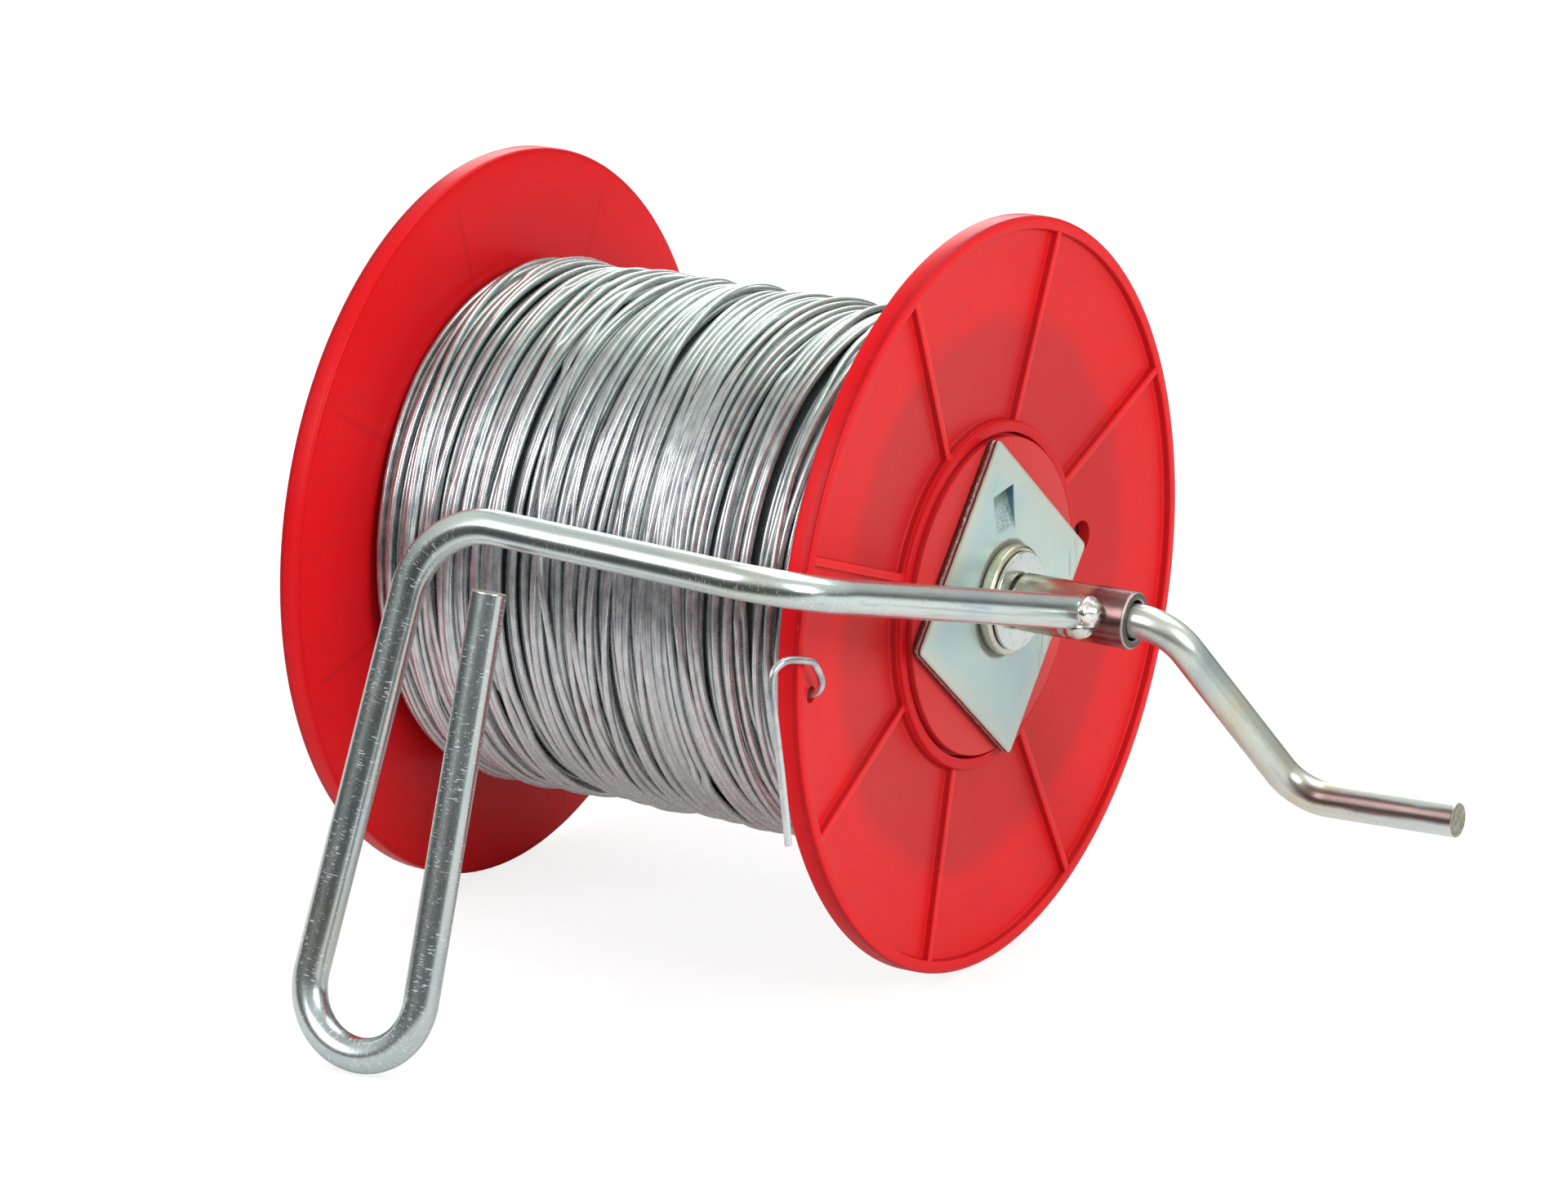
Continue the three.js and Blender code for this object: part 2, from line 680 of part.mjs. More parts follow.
// ---------- materials ----------
const finish = {
  plastic: { color: 0xd4212b, roughness: 0.35, metalness: 0 },
  plasticInner: { color: 0xb81e27, roughness: 0.45, metalness: 0 },
  zinc: { color: 0xc9d0cd, roughness: 0.3, metalness: 1 },
  zincPlate: { color: 0xbfcfce, roughness: 0.45, metalness: 0.9 },
  weld: { color: 0xb9b9b2, roughness: 0.35, metalness: 1 },
  wire: { color: 0xb4b7b8, roughness: 0.4, metalness: 1 },
};

const reel = new THREE.Group();

function addPiece(parent, name, geometry, look) {
  const mesh = new THREE.Mesh(geometry, new THREE.MeshStandardMaterial(finish[look]));
  mesh.name = name;
  parent.add(mesh);
  return mesh;
}

// ---------- assembly ----------
const axis = new THREE.Group();
reel.add(axis);

addPiece(axis, 'handle_rod', handleRodGeometry(), 'zinc');
addPiece(axis, 'handle_sleeve', ring(sleeveInner / 2, sleeveOuter / 2, sleeveStart, sleeveEnd,
  smallSegments), 'zinc');
addPiece(axis, 'sleeve_weld_upper',
  weldGeometry(0.9 * rodRadius, 0.27 * rodRadius, [0.48, 0.72, 0.5]), 'weld');
addPiece(axis, 'sleeve_weld_lower', weldGeometry(0, -rodRadius, [0.82, 0.7, 0.44]), 'weld');

addPiece(axis, 'crank_rod', swept(crankStations(), rodRadius, rodSides), 'zinc');
addPiece(axis, 'drive_plate', drivePlateGeometry(), 'zincPlate');
addPiece(axis, 'shaft_boss', bossGeometry(), 'zinc');
addPiece(axis, 'thrust_washer', ring(rodRadius + fitGap, thrustWasherDiameter / 2,
  thrustWasherBack, thrustWasherFace, smallSegments * 2), 'zinc');

for (const [name, turn] of [['crank_side', 0], ['far_side', Math.PI]]) {
  addPiece(axis, `${name}_flange`, flangeGeometry(), 'plastic').rotation.z = turn;
  addPiece(axis, `${name}_hub_cap`, hubCapGeometry(), 'plastic').rotation.z = turn;
}
addPiece(axis, 'barrel', ring(barrelBore, barrelRadius, -barrelEnd, barrelEnd), 'plasticInner');
const coreEnd = hubDiscBack - fitGap;
addPiece(axis, 'core_tube', ring(shaftBore, coreRadius, -coreEnd, coreEnd, smallSegments), 'plasticInner');
addPiece(axis, 'wire_winding', windingGeometry(), 'wire');
addPiece(axis, 'wire_tail', wireTailGeometry(), 'wire');

addPiece(axis, 'clamp_washer', ring(rodRadius + fitGap, washerDiameter / 2,
  -washerFace, -washerFace + washerThickness, smallSegments * 2), 'zinc');
addPiece(axis, 'lock_washer', lockWasherGeometry(), 'zinc');
addPiece(axis, 'wing_nut', wingNutGeometry(), 'zinc');

// The origin is the middle of the footprint, at the floor.
const box = new THREE.Box3().setFromObject(reel);
axis.position.set(-(box.min.x + box.max.x) / 2, -(box.min.y + box.max.y) / 2, -box.min.z);

export default reel;
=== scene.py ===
import json
import math

import bmesh
import bpy
import numpy as np
from mathutils import Matrix, Vector, noise


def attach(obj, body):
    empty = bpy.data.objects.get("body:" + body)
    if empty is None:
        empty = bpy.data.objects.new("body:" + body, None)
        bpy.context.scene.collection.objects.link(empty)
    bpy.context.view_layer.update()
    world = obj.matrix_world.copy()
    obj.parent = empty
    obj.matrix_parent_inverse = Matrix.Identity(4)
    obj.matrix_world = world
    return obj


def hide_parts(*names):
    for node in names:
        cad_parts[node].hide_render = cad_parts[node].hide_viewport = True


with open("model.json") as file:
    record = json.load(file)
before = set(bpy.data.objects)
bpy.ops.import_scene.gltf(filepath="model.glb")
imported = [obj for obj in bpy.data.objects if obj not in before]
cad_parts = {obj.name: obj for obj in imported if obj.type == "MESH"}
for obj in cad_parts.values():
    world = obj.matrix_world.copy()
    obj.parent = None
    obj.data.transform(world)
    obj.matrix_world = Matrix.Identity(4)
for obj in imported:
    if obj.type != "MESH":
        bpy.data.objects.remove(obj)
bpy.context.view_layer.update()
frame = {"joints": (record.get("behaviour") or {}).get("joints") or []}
scene = bpy.context.scene
joints = {joint["name"]: joint for joint in frame["joints"]}
centre = np.array(joints["crank_turn"]["pos_m"])
mm = 0.001
tau = 2 * math.pi

# Pieces are sized in millimetres, measured from the middle of the spool on the crank's axis.
# Materials work in metres.
rod = dict(radius=4.75, sides=56)  # the handle's and the crank's


def onRing(x, radius, angle):
    return x, radius * math.cos(angle), radius * math.sin(angle)


def across(degrees, radius=1.0):
    return np.array(onRing(0.0, radius, math.radians(degrees)))


def unit(vector):
    return vector / np.linalg.norm(vector)


def gridFaces(rows, columns, closeRows=False):
    faces = []
    for i in range(rows if closeRows else rows - 1):
        here, above = i * columns, (i + 1) % rows * columns
        for j in range(columns):
            after = (j + 1) % columns
            faces.append((here + j, here + after, above + after, above + j))
    return faces


def cappedFaces(rows, columns):
    last = (rows - 1) * columns
    return gridFaces(rows, columns) + [tuple(range(columns)), tuple(range(last, last + columns))]


def toFrame(points):
    # millimetres about the axis to the frame's metres
    return np.asarray(points, float) * mm + centre


def meshObject(name, points, faces):
    mesh = bpy.data.meshes.new(name)
    mesh.from_pydata(toFrame(points).tolist(), [], [tuple(face) for face in faces])
    made = bpy.data.objects.new(name, mesh)
    scene.collection.objects.link(made)
    return made


def tidyMesh(made, sharp=38, merge=1e-6):
    # joins doubled points, turns faces outwards and keeps the sharp edges sharp
    work = bmesh.new()
    work.from_mesh(made.data)
    bmesh.ops.remove_doubles(work, verts=work.verts, dist=merge)
    bmesh.ops.dissolve_degenerate(work, edges=work.edges, dist=merge / 2)
    bmesh.ops.recalc_face_normals(work, faces=work.faces)
    for face in work.faces:
        face.smooth = True
    limit = math.radians(sharp)
    for edge in work.edges:
        if len(edge.link_faces) == 2 and edge.calc_face_angle(0) > limit:
            edge.smooth = False
    work.to_mesh(made.data)
    work.free()
    made.data.update()
    return made


def applied(made):
    # turns the modifiers' result into a plain mesh
    bpy.context.view_layer.update()
    depsgraph = bpy.context.evaluated_depsgraph_get()
    mesh = bpy.data.meshes.new_from_object(made.evaluated_get(depsgraph), depsgraph=depsgraph)
    made.modifiers.clear()
    old = made.data
    made.data = mesh
    bpy.data.meshes.remove(old)
    return made


def combine(made, other, operation):
    change = made.modifiers.new("combine", "BOOLEAN")
    change.operation = operation
    change.solver = "EXACT"
    change.object = other
    applied(made)
    bpy.data.objects.remove(other)


def finishPiece(made, material, body, replaced=()):
    made.data.materials.clear()
    made.data.materials.append(material)
    for polygon in made.data.polygons:
        polygon.material_index = 0
    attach(made, body)
    if replaced:
        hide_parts(*replaced)


def rounded(points, radii, steps=5):
    # an outline whose corners become arcs
    points = [np.array(point, float) for point in points]
    count = len(points)
    radii = [radii] * count if isinstance(radii, (int, float)) else radii
    made = []
    for i, point in enumerate(points):
        if radii[i] <= 0:
            made.append(tuple(point))
            continue
        before = points[i - 1] - point
        after = points[(i + 1) % count] - point
        shorter = min(np.linalg.norm(before), np.linalg.norm(after))
        before, after = unit(before), unit(after)
        angle = math.acos(max(-1, min(1, float(before @ after))))
        if angle > math.pi - 0.02:
            made.append(tuple(point))
            continue
        back = min(radii[i] / math.tan(angle / 2), 0.48 * shorter)
        radius = back * math.tan(angle / 2)
        hub = point + unit(before + after) * radius / math.sin(angle / 2)
        first, last = point + before * back - hub, point + after * back - hub
        sweep = math.pi - angle
        for k in range(steps + 1):
            share = k / steps
            spoke = math.sin((1 - share) * sweep) * first + math.sin(share * sweep) * last
            made.append(tuple(hub + spoke / math.sin(sweep)))
    return made


def latheMesh(name, corners, segments, radii=0, steps=5):
    # corners are pairs of a radius and a place along the axis
    profile = rounded(corners, radii, steps)
    angles = np.arange(segments) * tau / segments
    points = []
    for radius, x in profile:
        points.append(np.stack([np.full(segments, x), radius * np.cos(angles), radius * np.sin(angles)], 1))
    return tidyMesh(meshObject(name, np.concatenate(points), gridFaces(len(profile), segments, True)))


def bentPath(corners, radii, step=3.0):
    # straight rod between round bends
    corners = [np.array(corner, float) for corner in corners]
    path = [corners[0]]
    for i, radius in enumerate(radii, 1):
        arriving = unit(corners[i] - corners[i - 1])
        leaving = unit(corners[i + 1] - corners[i])
        turn = math.acos(max(-1, min(1, float(arriving @ leaving))))
        start = corners[i] - arriving * radius * math.tan(turn / 2)
        inward = unit(leaving - arriving * float(arriving @ leaving))
        hub = start + inward * radius
        steps = max(6, math.ceil(math.degrees(turn) / step))
        for k in range(steps + 1):
            angle = turn * k / steps
            path.append(hub - inward * radius * math.cos(angle) + arriving * radius * math.sin(angle))
    path.append(corners[-1])
    return np.array(path)


def withSteps(path, longest):
    # the same path, with no step longer than this
    made = [path[0]]
    for a, b in zip(path[:-1], path[1:]):
        count = max(1, math.ceil(np.linalg.norm(b - a) / longest))
        for k in range(1, count + 1):
            made.append(a + (b - a) * k / count)
    return np.array(made)


def smoothPath(controls, count):
    # a curve that passes through every control point
    controls = [np.array(point, float) for point in controls]
    controls = [2 * controls[0] - controls[1]] + controls + [2 * controls[-1] - controls[-2]]
    made = []
    spans = len(controls) - 3
    for i in range(count):
        at = i / (count - 1) * spans
        k = min(int(at), spans - 1)
        t = at - k
        p0, p1, p2, p3 = controls[k:k + 4]
        made.append(0.5 * (2 * p1 + (p2 - p0) * t + (2 * p0 - 5 * p1 + 4 * p2 - p3) * t * t
                           + (3 * p1 - p0 - 3 * p2 + p3) * t ** 3))
    return np.array(made)


def sweepMesh(name, path, radius, sides, endRound):
    # a round rod along a path, with softened edges at its sheared ends
    first, last = unit(path[1] - path[0]), unit(path[-2] - path[-1])
    ends = [path[0] + first * (endRound + reach) for reach in (0.08, 0.3)]
    ends += [path[-1] + last * (endRound + reach) for reach in (0.3, 0.08)]
    path = np.array([path[0], *ends[:2], *path[1:-1], *ends[2:], path[-1]])
    tangents = np.gradient(path, axis=0)
    tangents /= np.linalg.norm(tangents, axis=1)[:, None]
    along = np.concatenate([[0], np.cumsum(np.linalg.norm(np.diff(path, axis=0), axis=1))])
    normal = unit(np.cross(tangents[0], [0.1, 0.3, 1.0]))
    rings, places = [], []

    def addRing(middle, normal, tangent, size, length, offset):
        side = np.cross(tangent, normal)
        for j in range(sides):
            angle = tau * j / sides
            direction = math.cos(angle) * normal + math.sin(angle) * side
            rings.append(middle + tangent * offset + direction * size)
            places.append((size * math.cos(angle), size * math.sin(angle), length + offset))

    soft = endRound / radius
    caps = [(0.0, 0.02), (0.0, 0.5), (0.0, 1 - soft), (0.3 * endRound, 1 - 0.3 * soft)]
    for inset, share in caps:
        addRing(path[0], normal, tangents[0], radius * share, 0.0, inset)
    for i, middle in enumerate(path):
        if i:
            normal = unit(normal - tangents[i] * float(normal @ tangents[i]))
        offset = endRound if i == 0 else (-endRound if i == len(path) - 1 else 0.0)
        addRing(middle, normal, tangents[i], radius, along[i], offset)
    for inset, share in reversed(caps):
        addRing(path[-1], normal, tangents[-1], radius * share, along[-1], -inset)
    made = meshObject(name, np.array(rings), cappedFaces(len(rings) // sides, sides))
    attribute = made.data.attributes.new("rodPlace", "FLOAT_VECTOR", "POINT")
    attribute.data.foreach_set("vector", (np.array(places) * mm).astype(np.float32).ravel())
    return tidyMesh(made, merge=1e-7)


class Value:
    # wraps a socket, so that shader sums read as sums
    def __init__(self, shader, socket):
        self.shader = shader
        self.socket = socket

    def joined(self, operation, other, swapped=False):
        pair = {0: other, 1: self} if swapped else {0: self, 1: other}
        return self.shader.node("ShaderNodeMath", {"operation": operation}, pair)

    def __add__(self, other):
        return self.joined("ADD", other)

    def __sub__(self, other):
        return self.joined("SUBTRACT", other)

    def __rsub__(self, other):
        return self.joined("SUBTRACT", other, True)

    def __mul__(self, other):
        return self.joined("MULTIPLY", other)

    def __pow__(self, other):
        return self.joined("POWER", other)

    __radd__ = __add__
    __rmul__ = __mul__

    def positive(self):
        return self.joined("ABSOLUTE", 0.0)

    def clamped(self):
        return self.joined("MAXIMUM", 0.0).joined("MINIMUM", 1.0)


class Shader:
    # builds the nodes of a material or a world
    def __init__(self, owner):
        self.owner = owner
        owner.use_nodes = True
        self.tree = owner.node_tree
        self.tree.nodes.clear()

    def make(self, kind, settings=None, sockets=None):
        made = self.tree.nodes.new(kind)
        for key, value in (settings or {}).items():
            if key == "stops":
                ramp = made.color_ramp
                while len(ramp.elements) < len(value):
                    ramp.elements.new(0.5)
                for element, (position, colour) in zip(ramp.elements, value):
                    element.position = position
                    element.color = (*colour, 1)
            else:
                setattr(made, key, value)
        for key, value in (sockets or {}).items():
            if isinstance(value, Value):
                self.tree.links.new(value.socket, made.inputs[key])
            elif isinstance(value, tuple) and len(value) == 3 and made.inputs[key].type == "RGBA":
                made.inputs[key].default_value = (*value, 1)
            else:
                made.inputs[key].default_value = value
        return made

    def node(self, kind, settings=None, sockets=None, output=0):
        return Value(self, self.make(kind, settings, sockets).outputs[output])

    def noise(self, vector, scale, detail=3.0, roughness=0.5):
        return self.node("ShaderNodeTexNoise", None, {
            "Vector": vector, "Scale": scale, "Detail": detail, "Roughness": roughness})

    def mix(self, factor, a, b):
        return self.node("ShaderNodeMix", {"data_type": "RGBA"}, {0: factor, 6: a, 7: b}, 2)

    def range(self, value, low, high, toLow=0.0, toHigh=1.0):
        return self.node("ShaderNodeMapRange", {"interpolation_type": "SMOOTHSTEP"}, {
            0: value, 1: low, 2: high, 3: toLow, 4: toHigh})

    def objectPlace(self, scale=(1, 1, 1), shift=(0, 0, 0)):
        place = self.node("ShaderNodeTexCoord", None, None, 3)
        return self.node("ShaderNodeMapping", {"vector_type": "TEXTURE"}, {
            "Vector": place, "Location": shift, "Scale": scale})

    def attribute(self, name, scale=(1, 1, 1)):
        place = self.node("ShaderNodeAttribute", {"attribute_name": name}, None, 1)
        return self.node("ShaderNodeMapping", None, {"Vector": place, "Scale": scale})

    def split(self, vector):
        made = self.make("ShaderNodeSeparateXYZ", None, {0: vector})
        return [Value(self, output) for output in made.outputs]

    def fromAxis(self):
        x, y, z = self.split(self.objectPlace(shift=tuple(centre)))
        return x, y, z, (y * y + z * z) ** 0.5

    def bump(self, height, strength, distance):
        return self.node("ShaderNodeBump", None, {
            "Height": height, "Strength": strength, "Distance": distance})

    def surface(self, colour, roughness, metallic, normal, **more):
        shader = self.node("ShaderNodeBsdfPrincipled", None, {
            "Base Color": colour, "Roughness": roughness, "Metallic": metallic, "Normal": normal, **more})
        self.make("ShaderNodeOutputMaterial", None, {0: shader})
        return self.owner


def newShader(name):
    return Shader(bpy.data.materials.new(name))


spool = dict(
    radius=105, lipFace=83, rimWidth=6.5, rimWall=3.5, webDepth=2.3, webDish=3.0, webThickness=3.4,
    webStart=48.9, webEnd=101.1, bore=45.3, ringRadius=48.3, ringRise=3.3,
    barrelRadius=45, barrelBore=42, barrelHalf=79.1, guideRadius=8.1, shaftBore=5.1,
    discRadius=44.3, discThickness=3, discRise=1.4, skirt=(38.7, 41.7), skirtEnd=70.4, pocketHalf=8.5,
    ribCount=8, ribHalf=1.2, ribRise=2.0, ribPhase=27.6, ribRound=0.35, ribDraft=0.12, ribFillet=0.3,
    segments=288,
)
spool["webAtRim"] = spool["lipFace"] - spool["webDepth"]
spool["webAtHub"] = spool["webAtRim"] - spool["webDish"]
spool["ringTop"] = spool["webAtHub"] + spool["ringRise"]
spool["discFace"] = spool["ringTop"] + spool["discRise"]
spool["discBack"] = spool["discFace"] - spool["discThickness"]
spool["rimBack"] = spool["lipFace"] - spool["rimWidth"]
spool["lipInner"] = spool["radius"] - spool["rimWall"]
holes = [dict(diameter=9.5, radius=56.6, angle=4.6), dict(diameter=4.6, radius=93.6, angle=-175.7)]
# the plate's sizes stand here because its tooth sits in a pocket of the hub cap
plate = dict(
    side=65.48, back=82.7, face=85.7, corner=1.6, turn=7.1, toothDrop=23.64,
    toothWidth=12.5, toothHeight=12.5, toothDeep=2.9, toothDeepest=(1.03, 1.08),
    toothCorners=[(-0.84, 1.12), (1.12, 1.2), (1.12, -0.97), (-0.62, -1.0)],
)


def webFront(radius):
    share = (radius - spool["webStart"]) / (spool["webEnd"] - spool["webStart"])
    return spool["webAtHub"] + spool["webDish"] * share


def webBack(radius):
    inner = spool["webAtHub"] - spool["webThickness"]
    share = (radius - spool["barrelRadius"]) / (spool["radius"] - spool["barrelRadius"])
    return inner + (spool["rimBack"] - inner) * share


def atTooth(x, y, z):
    # y and z are measured from the tooth's middle, along the plate's own directions
    turn = math.radians(plate["turn"])
    middle = across(90 + plate["turn"], plate["toothDrop"])
    return (x, middle[1] + y * math.cos(turn) - z * math.sin(turn),
            middle[2] + y * math.sin(turn) + z * math.cos(turn))


redPlastic = dict(
    plain=(0.58, 0.005, 0.009), inner=(0.70, 0.006, 0.010), edge=(0.53, 0.004, 0.008),
    web=(0.66, 0.012, 0.014), flowAndWireShade=(0.48, 0.018, 0.019), shade=(0.46, 0.008, 0.012),
    # in the next row: a painted sheen for the hub disc, painted shade for walls, a painted highlight for tops
    disc=(0.56, 0.034, 0.034), shadedWall=(0.30, 0.003, 0.006), top=(0.80, 0.020, 0.022),
    scuffed=(0.9, 0.25, 0.25), shine=0.11,
)


def plasticMaterial(name, side):
    # side is 1 for the crank-side mouldings and -1 for the others
    shader = newShader(name)
    place = shader.objectPlace()
    x, y, z, radius = shader.fromAxis()
    cloud = shader.noise(place, 28, 4, 0.55)
    fine = shader.noise(place, 420, 2)
    flow = shader.noise(shader.objectPlace(scale=(1, 1, 0.35)), 60, 3)
    slope = spool["webDish"] / (spool["webEnd"] - spool["webStart"])
    relief = x * side - (radius * slope + (spool["webAtHub"] - spool["webStart"] * slope) * mm)
    ring, disc, rim = spool["ringRadius"], spool["discRadius"], spool["radius"]
    ribTop = spool["ribRise"]

    def ramp(value, low, high, toLow=0.0, toHigh=1.0):
        return shader.range(value, low * mm, high * mm, toLow, toHigh)

    # outer face: web, lip, hub cap, and the walls and tops of what stands on the web, with painted shade on
    # those walls and a painted highlight on those tops
    # painted shade on the web where the winding lies behind it; the same darker red also tints the flow marks
    behind = ramp(radius + (cloud - 0.5) * 0.012, 72, 82, 1.0, 0.0)
    web = ramp(radius, ring - 0.8, ring + 1.2) * ramp(radius, rim - 3.8, rim - 2.8, 1.0, 0.0)
    front = shader.mix(behind * 0.85, redPlastic["web"], redPlastic["flowAndWireShade"])
    front = shader.mix(web, redPlastic["edge"], front)
    # the hub disc's colour carries a painted sheen, a hazier, less saturated red
    front = shader.mix(ramp(radius, disc + 0.3, disc - 0.3), front, redPlastic["disc"])
    onWeb = ramp(radius, ring + 0.1, ring + 0.3)
    # painted shade on the walls and a painted highlight on the tops of the hub ring, ribs and lip
    shadedWall = onWeb * ramp(relief, 0.1, 0.5) * ramp(relief, ribTop - 0.05, ribTop - 0.3)
    top = onWeb * ramp(relief, ribTop - 0.3, ribTop - 0.05)
    front = shader.mix(shadedWall * 0.55, front, redPlastic["shadedWall"])
    front = shader.mix(top * 0.5, front, redPlastic["top"])

    # inner face: painted shade towards the wire, with faint sink lines behind the ribs painted as shade
    back = shader.mix(ramp(radius, rim - 0.5, rim - 2), redPlastic["plain"], redPlastic["inner"])
    back = shader.mix(ramp(radius, rim - 31, rim - 5, 0.5, 0.0), back, redPlastic["shade"])
    nearRib = None
    for rib in range(spool["ribCount"] // 2):
        angle = math.radians(spool["ribPhase"] * side + rib * 360 / spool["ribCount"])
        gap = (y * math.sin(angle) - z * math.cos(angle)).positive()
        nearRib = gap if nearRib is None else nearRib.joined("MINIMUM", gap)
    sink = ramp(nearRib + (cloud - 0.5) * 0.001, 1.3, 0.2) * ramp(radius, rim - 5.5, rim - 8)
    back = shader.mix(sink * 0.26, back, redPlastic["shadedWall"])

    colour = shader.mix(ramp(relief, -2.2, -1.0), back, front)
    # flow marks in the same darker red that serves as painted shade
    colour = shader.mix(shader.range(flow, 0.45, 0.75) * 0.22, colour, redPlastic["flowAndWireShade"])
    scuff = shader.range(shader.noise(place, 900, 2), 0.70, 0.78)
    colour = shader.mix(scuff * 0.15, colour, redPlastic["scuffed"])
    roughness = 0.24 + cloud * 0.2 + scuff * 0.15
    normal = shader.bump(fine * 0.35 + cloud * 0.65, 0.12, 0.0006)
    return shader.surface(colour, roughness, 0.0, normal, **{"Specular IOR Level": redPlastic["shine"]})


def ribHeight(offset):
    # a drafted rib with rounded top edges and a fillet at its foot
    gap, half, rise = abs(offset), spool["ribHalf"], spool["ribRise"]
    edge, draft, foot = spool["ribRound"], spool["ribDraft"], spool["ribFillet"]
    if gap <= half - edge:
        return rise
    if gap <= half:
        share = (gap - half + edge) / edge
        return rise - edge * (1 - math.sqrt(max(0, 1 - share * share)))
    if gap <= half + draft:
        share = (gap - half) / draft
        return rise - edge - share * (rise - edge - foot)
    share = min(1, (gap - half - draft) / edge)
    return foot * (1 - math.sqrt(max(0, 1 - (1 - share) ** 2)))


def flangeProfile():
    s = spool
    radius, wallFoot = s["radius"], s["radius"] - 5.5
    corners = [
        (s["bore"], s["barrelHalf"], 0), (s["bore"], s["ringTop"], 0.25),
        (s["ringRadius"], s["ringTop"], 0.5), (s["ringRadius"] + 0.6, s["webAtHub"], 0.8),
        (s["lipInner"] - 0.4, s["webAtRim"], 0.8), (s["lipInner"], s["lipFace"], 0.35),
        (radius - 0.05, s["lipFace"], 1.1), (radius, s["rimBack"] + 0.05, 1.1),
        (wallFoot, webBack(wallFoot), 2.0), (s["bore"], webBack(s["bore"]), 0),
    ]
    outline = rounded([(r, x) for r, x, _ in corners], [bend for _, _, bend in corners])
    profile = []
    for i, (r, x) in enumerate(outline):
        nextR, nextX = outline[(i + 1) % len(outline)]
        # long faces are split, so that shading stays even
        parts = int(math.hypot(nextR - r, nextX - x) // 7) + 1
        for k in range(parts):
            profile.append((r + (nextR - r) * k / parts, x + (nextX - x) * k / parts))
    return profile


def flangeMesh(name):
    s = spool
    half, pitch = s["ribHalf"], tau / s["ribCount"]
    offsets = [-half - out for out in (0.47, 0.33, 0.22, 0.12, 0, -0.1, -0.35)] + [0]
    offsets += [-offset for offset in reversed(offsets[:-1])]
    between = 18
    profile = flangeProfile()
    points = []
    for radius, x in profile:
        front = s["ringRadius"] - 0.01 <= radius <= s["lipInner"] + 0.01 and x > webFront(radius) - 0.5
        for rib in range(s["ribCount"]):
            angle = math.radians(s["ribPhase"]) + rib * pitch
            for offset in offsets:
                height = max(x, webFront(radius) + ribHeight(offset)) if front else x
                points.append(onRing(height, radius, angle + offset / radius))
            first, last = angle + offsets[-1] / radius, angle + pitch + offsets[0] / radius
            for k in range(1, between + 1):
                points.append(onRing(x, radius, first + (last - first) * k / (between + 1)))
    columns = s["ribCount"] * (len(offsets) + between)
    made = tidyMesh(meshObject(name, points, gridFaces(len(profile), columns, True)))
    for hole in holes:
        size, low, high = hole["diameter"] / 2, 70, 84
        cutter = latheMesh("cutter", [(0.01, low), (size, low), (size, high), (0.01, high)], 48)
        cutter.data.transform(Matrix.Translation(Vector(across(hole["angle"], hole["radius"]) * mm)))
        combine(made, cutter, "DIFFERENCE")
    return tidyMesh(made, sharp=42)


def hubCapMesh(name):
    s = spool
    bore, back, (inner, outer) = s["shaftBore"], s["discBack"], s["skirt"]
    made = latheMesh(name, [
        (bore, s["discFace"]), (s["discRadius"], s["discFace"]), (s["discRadius"], back), (outer, back),
        (outer, s["skirtEnd"]), (inner, s["skirtEnd"]), (inner, back), (bore, back),
    ], s["segments"], [0.2, 0.45, 0.2, 0, 0.3, 0.3, 0, 0], 4)
    half = s["pocketHalf"]
    corners = []
    for x in (back - 1, s["discFace"] + 1):
        for y, z in ((-half, -half), (half, -half), (half, half), (-half, half)):
            corners.append(atTooth(x, y, z))
    faces = [(0, 3, 2, 1), (4, 5, 6, 7), (0, 1, 5, 4), (1, 2, 6, 5), (2, 3, 7, 6), (3, 0, 4, 7)]
    combine(made, tidyMesh(meshObject("cutter", corners, faces)), "DIFFERENCE")
    return tidyMesh(made)


def turnedRound(made):
    # the far moulding is the same one, turned half round the vertical through the spool's middle
    middle = Matrix.Translation(Vector(centre))
    made.data.transform(middle @ Matrix.Rotation(math.pi, 4, "Z") @ middle.inverted())


def tubeMesh(name, inner, outer, segments):
    half = spool["barrelHalf"]
    return latheMesh(name, [(inner, -half), (outer, -half), (outer, half), (inner, half)], segments, 0.3, 3)


redOuter = plasticMaterial("redPlasticOuter", 1)
redPlain = plasticMaterial("redPlastic", -1)
for side in ("crank_side", "far_side"):
    material = redOuter if side == "crank_side" else redPlain
    flange = flangeMesh(side.replace("_s", "S") + "Flange")
    cap = hubCapMesh(side.replace("_s", "S") + "HubCap")
    if side == "far_side":
        turnedRound(flange)
        turnedRound(cap)
    finishPiece(flange, material, "spool", [side + "_flange"])
    finishPiece(cap, material, "spool", [side + "_hub_cap"])
barrel = tubeMesh("barrelTube", spool["barrelBore"], spool["barrelRadius"], spool["segments"])
finishPiece(barrel, redPlain, "spool", ["barrel"])
core = tubeMesh("shaftGuide", spool["shaftBore"], spool["guideRadius"], 48)
finishPiece(core, redPlain, "spool", ["core_tube"])
print("spool ready")


winding = dict(
    wire=1.05, radius=73.5, crown=1.0, shoulder=7, swell=0.7, swells=9, rise=1.3, core=3.2, sideGap=0.3,
    nesting=0.86, samples=148,
    bundleWaves=[(1, 1.035), (0.7, 0.945), (0.6, 0.081), (0.4, 2.055)],
    strayWaves=[(0.6, 0.46), (0.4, 1.71), (0.3, 0.237)],
)
